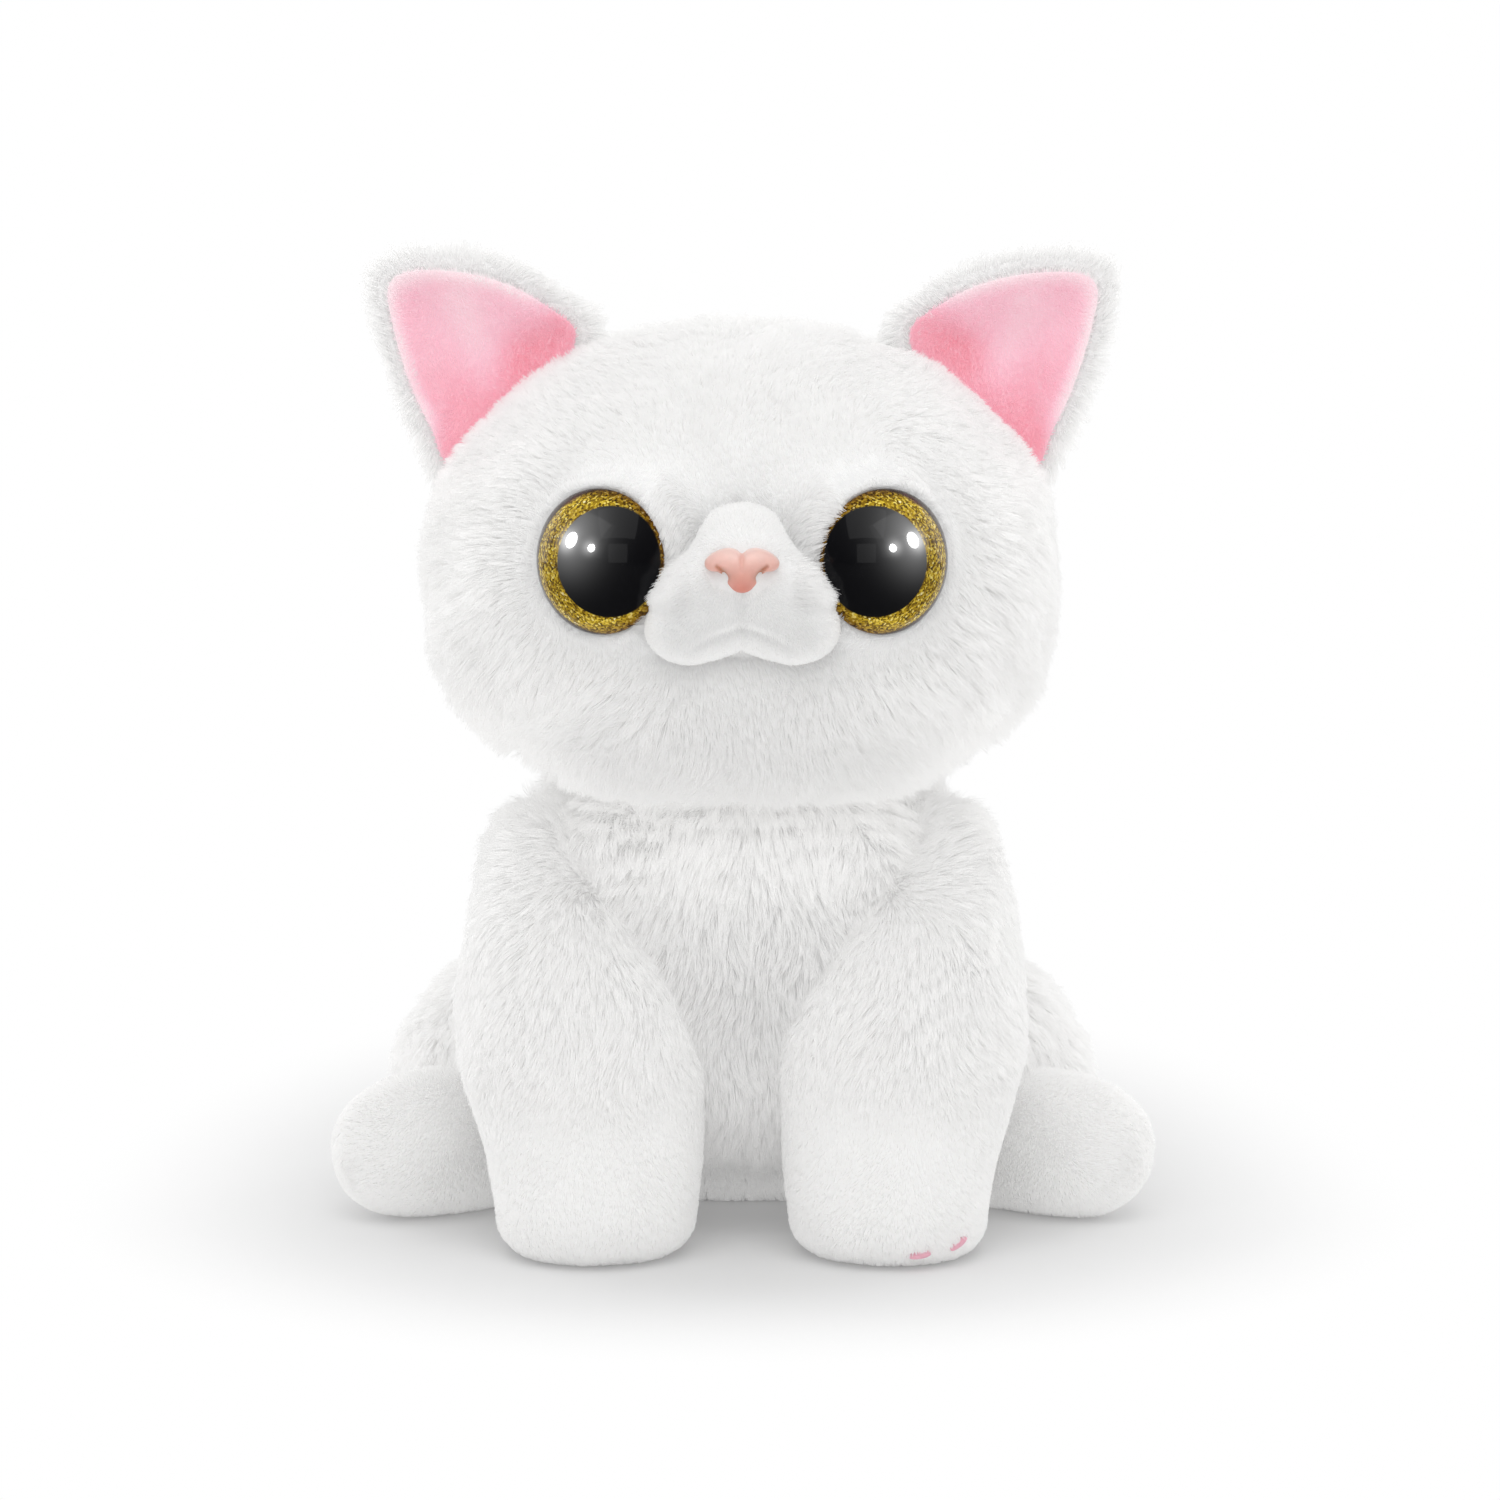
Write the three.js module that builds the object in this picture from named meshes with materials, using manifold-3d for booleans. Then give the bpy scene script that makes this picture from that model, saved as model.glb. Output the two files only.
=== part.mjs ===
// Seated interactive plush kitten: a sewn, stuffed toy with a plastic sound module in its base.
// Millimetres, +Z up. The face looks along -Y and the toy's own left side is +X.
// The origin is on the floor, in the toy's middle plane, just behind the neck axis.
import * as THREE from "three";
import { mergeVertices } from "three/addons/utils/BufferGeometryUtils.js";
import Module from "manifold-3d";

const wasm = await Module();
wasm.setup();

// ---------------------------------------------------------------- driving dimensions
const SKIN = 1.8; // plush fabric with its backing
const FILL_GAP = 0.5; // between a fabric skin and its filling
const FILL_INSET = SKIN + FILL_GAP;
const SEAM_GAP = 0.7; // between haunch and torso
const NECK = { y: -3, ballZ: 95, ballRadius: 13.5, tubeRadius: 10.5 };
// yaw turns an eye outward and pitch turns it upward, in degrees
const EYE = { radius: 13.5, domeHeight: 8.2, x: 25.4, y: -54.2, z: 133.2, yaw: 28, pitch: 2 };
const NOSE = { width: 13.6, height: 8.4, y: -71.8, z: 133.8 };
const MOUTH_Z = 123;
const EAR = { centreX: 53.5, centreZ: 168.6, y: -6, cup: 4.5 };
// The case stands on the floor, centred on x = 0; the split parts its lower and upper halves.
const CASE = { y: 26, width: 46, depth: 38, split: 16.8, top: 30, wall: 1.6, corner: 4 };
const CELL = { radius: 5.8, length: 5.4, gap: 0.25, z: 8.8 };
const BAY = { x0: -18.6, x1: 1.2, width: 13, wall: 1.2 };
const DOOR = { x0: -20.6, x1: 7.4, width: 16.4, thick: 1.4, screwX: 4.6 };

const UP = [0, 0, 1];
const BACK = [0, 1, 0];

// ---------------------------------------------------------------- solids
function solidOf(geometry) {
  const flat = geometry.index ? geometry.toNonIndexed() : geometry;
  const bare = new THREE.BufferGeometry();
  bare.setAttribute("position", flat.getAttribute("position"));
  const merged = mergeVertices(bare, 1e-3);
  const mesh = new wasm.Mesh({
    numProp: 3,
    vertProperties: new Float32Array(merged.attributes.position.array),
    triVerts: new Uint32Array(merged.index.array),
  });
  return new wasm.Manifold(mesh);
}

function geometryOf(solid) {
  const mesh = solid.getMesh();
  const stride = mesh.numProp;
  const positions = new Float32Array(mesh.numVert * 3);
  for (let i = 0; i < mesh.numVert; i++) {
    positions.set(mesh.vertProperties.subarray(i * stride, i * stride + 3), i * 3);
  }
  return new THREE.BufferGeometry()
    .setAttribute("position", new THREE.BufferAttribute(positions, 3))
    .setIndex(new THREE.BufferAttribute(new Uint32Array(mesh.triVerts), 1));
}

// Reverses the winding of every triangle in an index list.
function flipTriangles(index) {
  for (let i = 0; i < index.length; i += 3) {
    [index[i + 1], index[i + 2]] = [index[i + 2], index[i + 1]];
  }
}

// Six times the signed volume inside the triangles; negative when they face inward.
function signedVolume(points, index) {
  let sum = 0;
  for (let i = 0; i < index.length; i += 3) {
    const [a, b, c] = [0, 1, 2].map((k) => new THREE.Vector3(...points[index[i + k]]));
    sum += a.dot(b.cross(c));
  }
  return sum;
}

// A closed solid through rings of equal length, each end closed by a point.
function ringSolid(first, rings, last) {
  const sides = rings[0].length;
  const points = [first, ...rings.flat(), last];
  const end = points.length - 1;
  const lastRing = rings.length - 1;
  const at = (k, i) => 1 + k * sides + ((i + sides) % sides);
  const index = [];
  for (let i = 0; i < sides; i++) index.push(0, at(0, i + 1), at(0, i));
  for (let k = 0; k < lastRing; k++) {
    for (let i = 0; i < sides; i++) {
      index.push(at(k, i), at(k, i + 1), at(k + 1, i + 1));
      index.push(at(k, i), at(k + 1, i + 1), at(k + 1, i));
    }
  }
  for (let i = 0; i < sides; i++) index.push(end, at(lastRing, i), at(lastRing, i + 1));
  if (signedVolume(points, index) < 0) flipTriangles(index);
  const geometry = new THREE.BufferGeometry();
  geometry.setAttribute("position", new THREE.BufferAttribute(new Float32Array(points.flat()), 3));
  geometry.setIndex(index);
  return solidOf(geometry);
}

// A soft body from horizontal superellipse sections [z, half width, front y, back y, centre x],
// grown by `grow` all round. The centre x is 0 where a row leaves it out.
function pile(table, grow, { sides, power, keepBase = false }) {
  const firstRow = table[0];
  const lastRow = table[table.length - 1];
  const bottom = firstRow[0] - (keepBase ? 0 : grow);
  const top = lastRow[0] + grow;
  const rings = table.map(([z, halfWidth, front, back, centreX = 0]) => {
    const ringZ = bottom + ((z - firstRow[0]) / (lastRow[0] - firstRow[0])) * (top - bottom);
    const radiusX = halfWidth + grow;
    const radiusY = (back - front) / 2 + grow;
    const ring = [];
    for (let i = 0; i < sides; i++) {
      const angle = (2 * Math.PI * i) / sides;
      const sin = Math.sin(angle);
      const cos = Math.cos(angle);
      const reach = Math.pow(Math.abs(cos) ** power + Math.abs(sin) ** power, -1 / power);
      ring.push([
        centreX + radiusX * reach * cos,
        (front + back) / 2 + radiusY * reach * sin,
        ringZ,
      ]);
    }
    return ring;
  });
  const cap = ([, , front, back, centreX = 0], z) => [centreX, (front + back) / 2, z];
  return ringSolid(cap(firstRow, bottom), rings, cap(lastRow, top));
}

// A soft limb through elliptical sections [x, y, z, radius across, radius up] that face along
// the path, grown by `grow`.
function limb(path, grow, sides) {
  const END_BULGE = 0.6;
  const centres = path.map(([x, y, z]) => new THREE.Vector3(x, y, z));
  const last = centres.length - 1;
  const rings = path.map(([, , , radiusAcross, radiusUp], i) => {
    const along = centres[Math.min(i + 1, last)].clone()
      .sub(centres[Math.max(i - 1, 0)])
      .normalize();
    const across = new THREE.Vector3(...UP).cross(along).normalize();
    const up = along.clone().cross(across).normalize();
    const ring = [];
    for (let k = 0; k < sides; k++) {
      const angle = (2 * Math.PI * k) / sides;
      const point = centres[i].clone()
        .addScaledVector(across, (radiusAcross + grow) * Math.cos(angle))
        .addScaledVector(up, (radiusUp + grow) * Math.sin(angle));
      ring.push(point.toArray());
    }
    return ring;
  });
  const tip = (end, inner) => {
    const outward = centres[end].clone().sub(centres[inner]).normalize();
    return centres[end].clone().addScaledVector(outward, END_BULGE + grow).toArray();
  };
  return ringSolid(tip(0, 1), rings, tip(last, last - 1));
}

// Turns a geometry's +Y to a direction, then moves its origin to a base point.
function aim(geometry, [x, y, z], direction) {
  const turn = new THREE.Quaternion().setFromUnitVectors(
    new THREE.Vector3(0, 1, 0),
    new THREE.Vector3(...direction).normalize(),
  );
  return geometry.applyQuaternion(turn).translate(x, y, z);
}

// Stands on its base point and runs along the direction.
function cylinder(radius, length, base, direction, sides) {
  const geometry = new THREE.CylinderGeometry(radius, radius, length, sides, 1);
  geometry.translate(0, length / 2, 0);
  return solidOf(aim(geometry, base, direction));
}
const upright = (radius, height, base, sides) => cylinder(radius, height, base, UP, sides);

// x and y are the centre, z is the underside.
function box(width, depth, height, [x, y, z]) {
  const geometry = new THREE.BoxGeometry(width, depth, height);
  return solidOf(geometry.translate(x, y, z + height / 2));
}

// A block with rounded upright corners, centred on x = 0 and the case's y.
function caseSlab(width, depth, corner, z0, z1, curveSegments = 3) {
  const shape = new THREE.Shape();
  const x = width / 2;
  const y = depth / 2;
  shape.moveTo(-x + corner, -y);
  shape.lineTo(x - corner, -y);
  shape.absarc(x - corner, -y + corner, corner, -Math.PI / 2, 0, false);
  shape.lineTo(x, y - corner);
  shape.absarc(x - corner, y - corner, corner, 0, Math.PI / 2, false);
  shape.lineTo(-x + corner, y);
  shape.absarc(-x + corner, y - corner, corner, Math.PI / 2, Math.PI, false);
  shape.lineTo(-x, -y + corner);
  shape.absarc(-x + corner, -y + corner, corner, Math.PI, 1.5 * Math.PI, false);
  const options = { depth: z1 - z0, bevelEnabled: false, curveSegments };
  return solidOf(new THREE.ExtrudeGeometry(shape, options).translate(0, CASE.y, z0));
}

// Turns a profile of [radius, height] about the direction through the base point.
function lathe(profile, base, direction, sides) {
  const points = profile.map(([radius, height]) => new THREE.Vector2(radius, height));
  const geometry = aim(new THREE.LatheGeometry(points, sides), base, direction);
  const made = solidOf(geometry);
  if (made.volume() >= 0) return made;
  flipTriangles(geometry.index.array);
  return solidOf(geometry);
}

function tube(points, radius, steps, sides) {
  const extrudePath = new THREE.CatmullRomCurve3(
    points.map((point) => new THREE.Vector3(...point)), false, "centripetal",
  );
  const outline = [];
  for (let i = 0; i < sides; i++) {
    const angle = (2 * Math.PI * i) / sides;
    outline.push(new THREE.Vector2(radius * Math.cos(angle), radius * Math.sin(angle)));
  }
  const options = { steps, extrudePath, bevelEnabled: false };
  return solidOf(new THREE.ExtrudeGeometry(new THREE.Shape(outline), options));
}

const mirrored = (solid) => solid.mirror([1, 0, 0]);
const bothSides = (solid) => solid.add(mirrored(solid));
// Every second row, with both ends kept: the inner faces of the skins are coarser.
const coarse = (table) => table.filter((_, i) => i === table.length - 1 || i % 2 === 0);

// ---------------------------------------------------------------- body sections
// Rows of [z, half width, front y, back y], with a centre x as fifth column off the middle.
const HEAD = [
  [88.5, 21, -27, 19], [90, 32.5, -36, 27], [93, 41.4, -44, 33.5], [99, 48.6, -50.5, 38.5],
  [107, 53.4, -55, 42], [116.5, 56.2, -57.8, 43.8], [127, 57, -58.8, 44.2],
  [137, 56, -57.6, 43.6], [146, 52.8, -54.2, 41], [154, 47.2, -48.8, 36.8],
  [161.5, 39, -41.4, 30.4], [167.4, 29, -32, 22], [171.2, 17, -21, 11.6], [172.6, 7, -11, 2.2],
];
const TORSO = [
  [0, 33, 4, 49.5], [2.6, 37.5, 0.5, 53], [7.5, 40.5, -8, 55], [12.5, 42.6, -18.5, 56],
  [19, 44.4, -28.6, 56.4], [28, 45.6, -34.6, 56], [38, 46, -37.6, 54], [49, 45.2, -38.6, 50],
  [59, 43.6, -38.2, 45], [68, 41.4, -36.6, 39.4], [75, 38.4, -34, 34], [80, 34.2, -30, 28.6],
  [83, 28, -25, 23.4], [84.4, 21, -20, 17],
];
const FORELEG = [
  [0, 11, -51, -29, 28.6], [1.6, 14.4, -56.5, -24, 28.7], [5, 16.8, -60.4, -20.4, 28.7],
  [10, 17.5, -61.6, -18.6, 28.7], [17, 18.6, -59.6, -17, 29], [26, 20.6, -56, -14.8, 29.8],
  [36, 21.6, -52.8, -12.6, 30.4], [47, 20.4, -49, -10.4, 32], [57, 16.8, -44, -8, 34.6],
  [66, 12.8, -37, -4.6, 36.8], [73, 9.2, -30.5, -3.2, 38.2], [78, 5.6, -25, -6, 38.8],
  [79.8, 2.8, -19.5, -11.5, 39],
];
const FORELEG_ROOM = [
  [-4, 19.4, -72, -17, 28.8], [9, 21.4, -78, -14.6, 28.8], [36, 25.6, -76, -8.6, 30.6],
  [47, 24.4, -70, -5.8, 32.2], [59, 19.4, -58, -2.2, 35.2], [70, 14, -46, 0.4, 37.8],
  [82, 6.4, -34, -4, 39],
];
const HAUNCH = [
  [0.4, 15, 4, 40, 38], [3, 19.5, -2, 45, 38.4], [9, 23, -6.5, 49.5, 39],
  [17, 25.4, -9, 52, 39.6], [25, 26, -9, 52, 39.8], [33, 23.4, -6, 49.5, 39],
  [40, 18.6, -1, 44.5, 37.6], [45.2, 12, 6, 37.5, 36], [47.2, 5.6, 13, 29, 35.2],
];
// Rows of [x, y, z, radius across, radius up] along the limb.
const FOOT = [
  [34, 13.6, 13.6, 6.4, 7.2], [36, 12.2, 13.7, 9.6, 10.2], [40.4, 9, 13.8, 12.2, 12.6],
  [47, 4.2, 13.9, 13.6, 13.6], [54.5, -1.2, 13.9, 13.8, 13.6], [61.5, -6.4, 13.8, 13.6, 13.4],
  [67.6, -10.8, 13.6, 12.4, 12.4], [72, -14, 13.4, 10.2, 10.4], [75, -16.2, 13.2, 7, 7.2],
  [76.4, -17.2, 13.1, 3.2, 3.4],
];
const FOOT_ROOM = [
  [33.4, 14, 13.6, 9, 10], [36, 12.2, 13.8, 13.6, 14], [41, 8.6, 14, 16.4, 15.6],
  [54.5, -1.2, 14.2, 21, 16.2], [70, -12.4, 14, 25, 16.2],
];
const TAIL = [
  [-1, 59.8, 10.8, 4.6, 5], [0.6, 61.8, 10.4, 6.6, 7], [6, 65, 9.6, 7.4, 7.6],
  [14, 66.8, 9, 7.5, 7.6], [24, 67.3, 8.6, 7.4, 7.5], [34, 66.2, 8.4, 7.2, 7.4],
  [43, 63, 8.2, 6.8, 7.2], [49.6, 59.2, 8, 5.4, 5.8], [52.6, 57, 7.9, 2.8, 3.2],
];

const headForm = (grow) => pile(HEAD, grow, { sides: 20, power: 2.25 });
const headInside = (inset) => pile(coarse(HEAD), -inset, { sides: 14, power: 2.25 });
const torsoForm = (grow) => pile(TORSO, grow, { sides: 20, power: 2.2, keepBase: true });
const torsoInside = (inset) => pile(coarse(TORSO), -inset, { sides: 14, power: 2.2 });

// ---------------------------------------------------------------- eyes
// A dome in front of a black backing disc with a ribbed post, held by a lock washer.
// The left eye is built here; heights run outward along its axis.
const eyeAxis = new THREE.Vector3(0, -1, 0)
  .applyAxisAngle(new THREE.Vector3(1, 0, 0), THREE.MathUtils.degToRad(-EYE.pitch))
  .applyAxisAngle(new THREE.Vector3(0, 0, 1), THREE.MathUtils.degToRad(EYE.yaw))
  .toArray();
const eyeAt = (height) => [EYE.x, EYE.y, EYE.z].map((value, i) => value + eyeAxis[i] * height);
const eyeCylinder = (radius, length, height, sides) =>
  cylinder(radius, length, eyeAt(height), eyeAxis, sides);

function makeEyeDome() {
  const BASE = 1.3; // underside of the dome
  const RIM = 1.9; // where the curve starts
  const STEPS = 6;
  const { radius, domeHeight } = EYE;
  const sphere = (radius * radius + domeHeight * domeHeight) / (2 * domeHeight);
  const rimAngle = Math.asin((radius - 0.1) / sphere);
  const profile = [[0, BASE], [radius - 0.2, BASE], [radius, RIM]];
  for (let i = 1; i <= STEPS; i++) {
    const angle = rimAngle * (1 - i / STEPS);
    const height = RIM + sphere * Math.cos(angle) - (sphere - domeHeight);
    profile.push([sphere * Math.sin(angle), height]);
  }
  return lathe(profile, eyeAt(0), eyeAxis, 18);
}

// Profiles of [radius, height].
const EYE_POST = [
  [0, -13], [2, -13], [2, -10.8], [2.6, -10.2], [2, -9.6], [2, -8.6], [2.6, -8], [2.3, -7.4],
  [2.3, 0], [EYE.radius - 0.5, 0], [EYE.radius - 0.5, 1], [0, 1],
];
const EYE_WASHER = [
  [3, -1.2], [4.8, -1.2], [4.8, 0], [8.2, 0], [8.2, 1.2], [3, 1.2], [3, -1.2],
];
const eyeDome = makeEyeDome();
const eyePost = lathe(EYE_POST, eyeAt(0), eyeAxis, 14);
const eyeWasher = lathe(EYE_WASHER, eyeAt(-6), eyeAxis, 14);

// Cutters for both eyes: seat for the disc, bore for the post, pocket for the washer.
const eyeSeats = (grow) => bothSides(eyeCylinder(EYE.radius + 0.6 + grow, 24, -0.4 - grow, 18));
const eyeBores = bothSides(eyeCylinder(3.1, 20, -19, 8));
const eyePockets = bothSides(
  eyeCylinder(9.2, 3.8, -7.8, 12).add(eyeCylinder(3.6, 10, -14.2, 8)),
);

// ---------------------------------------------------------------- nose and mouth switch
// Cylinders running back from the face, starting at the given y.
const atNose = (radius, length, y, sides) =>
  cylinder(radius, length, [0, y, NOSE.z], BACK, sides);
const atMouth = (radius, length, y, sides) =>
  cylinder(radius, length, [0, y, MOUTH_Z], BACK, sides);

// Left half of the nose outline, top to bottom, as [x, z] in half widths and half heights.
// Quadratic curves: end points alternate with control points.
const NOSE_OUTLINE = [
  [0, 0.9], [0.45, 1.12], [0.92, 0.62], [1.08, 0.2], [0.78, 0], [0.5, -0.12], [0.42, -0.42],
  [0.26, -0.98], [0, -1],
];

function noseGeometry() {
  const otherHalf = NOSE_OUTLINE.slice(0, -1).reverse().map(([x, z]) => [-x, z]);
  const points = [...NOSE_OUTLINE, ...otherHalf]
    .map(([x, z]) => [(x * NOSE.width) / 2, (z * NOSE.height) / 2]);
  const shape = new THREE.Shape();
  shape.moveTo(...points[0]);
  for (let i = 1; i < points.length; i += 2) {
    shape.quadraticCurveTo(...points[i], ...points[i + 1]);
  }
  const geometry = new THREE.ExtrudeGeometry(shape, {
    depth: 1.4,
    bevelEnabled: true,
    bevelThickness: 1.5,
    bevelSize: 0.9,
    bevelOffset: -0.9,
    bevelSegments: 2,
    curveSegments: 3,
  });
  return geometry.rotateX(Math.PI / 2); // the shape's y becomes z, its depth runs to -y
}

// One moulded piece with two nostril hollows and a post.
function makeNose() {
  const NOSTRIL = [[0, 0], [1.1, 0.3], [1.1, 1.6], [0, 2.4]]; // [radius, height]
  let body = solidOf(noseGeometry().translate(0, NOSE.y, NOSE.z));
  for (const side of [-1, 1]) {
    const base = [side * 3.4, NOSE.y - 4.4, NOSE.z - 0.5];
    body = body.subtract(lathe(NOSTRIL, base, [0, 1, 0.15], 7));
  }
  const post = atNose(1.8, 17, NOSE.y + 1.2, 10).add(atNose(2.2, 0.8, NOSE.y + 16.2, 10));
  return body.add(post);
}

const nose = makeNose();
const noseWasher = atNose(4.1, 1.1, NOSE.y + 14.8, 14).subtract(atNose(2.2, 4, NOSE.y + 13, 10));
const noseSeat = solidOf(
  noseGeometry().scale(1.06, 1.12, 1.08).translate(0, NOSE.y + 0.5, NOSE.z),
).add(atNose(2.7, 16, NOSE.y - 1, 12));
const noseBore = atNose(2.7, 26, NOSE.y - 1, 10);

// A push switch behind the mouth that a feeding bottle presses.
const mouthHousing = atMouth(4.7, 7, -62, 12)
  .subtract(atMouth(2.2, 5.6, -63, 10))
  .add(box(6.4, 1.2, 6.4, [0, -54.6, MOUTH_Z - 3.2]));
const mouthPlunger = atMouth(3.9, 1.8, -65.6, 12).add(atMouth(1.8, 4.4, -64, 10));

// ---------------------------------------------------------------- muzzle
// A short-pile pad with two lobes, sewn on the face.
// Left half of its outline as [x, z], top to bottom.
const MUZZLE = [
  [0, 143.4], [4.4, 142.8], [8.2, 140.2], [11, 136.4], [13.4, 132.8], [16, 129], [18, 124.8],
  [18.2, 120.2], [15.6, 116.6], [10.6, 115.2], [5.2, 116], [0, 117.2],
];
// Sections from back to front: [outline scale, y, shift in z].
const MUZZLE_SECTIONS = [
  [0.98, -42, 0], [1, -59, -0.1], [0.94, -65, -0.6], [0.83, -69, -1], [0.56, -72.2, -1.2],
];
const MUZZLE_Z = 127; // the outline scales about this height

function muzzleRing([scale, y, shift]) {
  const half = MUZZLE.map(([x, z]) => [x * scale, y, MUZZLE_Z + (z - MUZZLE_Z) * scale + shift]);
  const otherHalf = half.slice(1, -1).reverse().map(([x, , z]) => [-x, y, z]);
  return [...half, ...otherHalf];
}

const muzzle = ringSolid(
  [0, -42, MUZZLE_Z], MUZZLE_SECTIONS.map(muzzleRing), [0, -73.5, MUZZLE_Z - 1],
)
  .subtract(headForm(0.5))
  .subtract(eyeSeats(-0.1))
  .subtract(noseSeat)
  .subtract(noseBore)
  .subtract(atMouth(5.2, 34, -67.2, 12));

// ---------------------------------------------------------------- ears
// A fur back panel and a short-pile lining, cupped, cut along the head.
// Outline of the left ear as [x, z].
const EAR_OUTLINE = [
  [44, 150], [52, 143], [57.4, 143.4], [60.6, 151], [64.4, 159], [67.4, 167.4], [69.6, 176],
  [70.4, 181.4], [69, 184.6], [64.6, 186.2], [57, 186.4], [49.6, 185.4], [42, 183], [35, 179],
  [28.6, 173.6], [31, 165], [37, 157],
];

// The middle of the sheet lies further back than its edge by the cup.
function earSheet(scale, edgeY, thickness) {
  const { centreX, centreZ, cup } = EAR;
  const front = (reach) => edgeY - thickness / 2 + cup * (1 - reach * reach);
  const back = (reach) => front(reach) + thickness;
  const ring = (reach, y) => EAR_OUTLINE.map(([x, z]) => [
    centreX + (x - centreX) * scale * reach, y, centreZ + (z - centreZ) * scale * reach,
  ]);
  const rings = [
    ...[0.35, 0.7, 0.93].map((reach) => ring(reach, front(reach))),
    ring(1, edgeY),
    ...[0.94, 0.7, 0.35].map((reach) => ring(reach, back(reach))),
  ];
  return ringSolid([centreX, front(0), centreZ], rings, [centreX, back(0), centreZ]);
}

const headClearance = headForm(1.5);
const earBack = earSheet(1, EAR.y, 4.4).subtract(headClearance);
const earLining = earSheet(0.86, EAR.y - 3.4, 1.6).subtract(headClearance);

// ---------------------------------------------------------------- neck
const neckCylinder = (radius, z0, z1, sides = 16) =>
  upright(radius, z1 - z0, [0, NECK.y, z0], sides);
function neckBall(grow) {
  const sphere = new THREE.SphereGeometry(NECK.ballRadius + grow, 16, 9);
  return solidOf(sphere.rotateX(Math.PI / 2).translate(0, NECK.y, NECK.ballZ));
}
const neckCore = neckBall(0)
  .add(neckCylinder(NECK.tubeRadius, 71, 94))
  .subtract(neckCylinder(2.4, 66, 126, 8));

// ---------------------------------------------------------------- cables
// Each cable is a path of [x, y, z]; a room is the wider channel through the stuffing.
const cableHead = tube([
  [0, -51, MOUTH_Z], [0, -44, MOUTH_Z], [0, -24, 119], [0, -6, 117.4], [0, -3, 114.6],
  [0, -3, 110.4],
], 1.1, 9, 5);
const cableHeadRoom = tube([
  [0, -56, MOUTH_Z], [0, -44, MOUTH_Z], [0, -24, 119], [0, -6, 117.4], [0, -3, 114.6],
  [0, -3, 104],
], 2.7, 10, 5);
const cableNeck = tube([[0, -3, 108], [0, -3, 100], [0, -3, 85], [0, -3, 71.8]], 1.1, 3, 5);
const cableBody = tube([
  [0, -3, 70.4], [0, -3, 66], [3, 4, 56], [6, 16, 42], [6, 22, 35], [6, 24, 30.7],
], 1.1, 9, 5);
const cableBodyRoom = tube([
  [0, -3, 75], [0, -3, 66], [3, 4, 56], [6, 16, 42], [6, 22, 35], [6, 24, 27],
], 2.3, 7, 5);
const cablePat = tube([
  [0, 29.4, 58.4], [-2, 26.5, 57], [-6, 25, 44], [-8, 24.6, 36], [-8, 24.6, 30.7],
], 0.9, 8, 5);
const cablePatRoom = tube([
  [0, 30.6, 59], [-2, 26.5, 57], [-6, 25, 44], [-8, 24.6, 36], [-8, 24.6, 27],
], 2.1, 6, 5);

// ---------------------------------------------------------------- head
const headSkin = headForm(0)
  .subtract(eyeSeats(0))
  .subtract(headInside(SKIN).subtract(eyeSeats(SKIN)))
  .subtract(eyePockets)
  .subtract(eyeBores.add(atNose(5, 40, -68, 10)).add(atMouth(5.4, 40, -70, 12)))
  .subtract(neckCylinder(15.5, 80, 95));
const headStuffing = headInside(FILL_INSET)
  .subtract(eyeSeats(FILL_INSET))
  .subtract(eyePockets)
  .subtract(eyeBores)
  .subtract(atNose(5.2, 24, -68, 10))
  .subtract(atMouth(5.8, 20, -70, 12))
  .subtract(neckBall(0.9))
  .subtract(neckCylinder(14, 80, 95))
  .subtract(cableHeadRoom);

// ---------------------------------------------------------------- pat switch
// A push switch under the skin of the upper back, pressed from behind.
const PAT_AXIS = [0, 0.94, 0.34];
const patCylinder = (radius, length, offset, sides) => {
  const base = [0, 33.4 + PAT_AXIS[1] * offset, 60 + PAT_AXIS[2] * offset];
  return cylinder(radius, length, base, PAT_AXIS, sides);
};
const patHousing = patCylinder(6.3, 5, -3.2, 14).subtract(patCylinder(2.7, 4.2, -2.2, 10));
const patPlunger = patCylinder(5, 1.8, 3.4, 14).add(patCylinder(2.2, 4.2, -0.5, 10));
const patRoom = patCylinder(7.4, 16, -3.8, 10);

// ---------------------------------------------------------------- torso, legs and tail
const floorCut = box(400, 400, 60, [0, 0, -60]);
const forelegRoom = (grow) => pile(FORELEG_ROOM, grow, { sides: 10, power: 2.1 });
const footRoom = (grow) => limb(FOOT_ROOM, grow, 10);
const withoutLegs = (solid, grow) => solid
  .subtract(bothSides(forelegRoom(grow)))
  .subtract(bothSides(footRoom(grow)));

const torsoBody = torsoForm(0);
const PORT_GAP = 0.7; // round the case, where it passes the skin
const modulePort = caseSlab(
  CASE.width + 2 * PORT_GAP, CASE.depth + 2 * PORT_GAP, CASE.corner + PORT_GAP, -2, 8,
);
const torsoSkin = withoutLegs(torsoBody, 0)
  .subtract(withoutLegs(torsoInside(SKIN), SKIN))
  .subtract(modulePort)
  .subtract(neckCylinder(13.5, 74, 95));

const MODULE_GAP = 0.5; // round the case, in the stuffing
const moduleRoom = caseSlab(
  CASE.width + 2 * MODULE_GAP, CASE.depth + 2 * MODULE_GAP, CASE.corner + MODULE_GAP,
  -5, CASE.top + 0.6,
);
const torsoStuffing = withoutLegs(torsoInside(FILL_INSET), FILL_INSET)
  .subtract(moduleRoom)
  .subtract(neckCylinder(NECK.tubeRadius + 0.6, 70.6, 99))
  .subtract(cableBodyRoom)
  .subtract(patRoom)
  .subtract(cablePatRoom);

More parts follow.
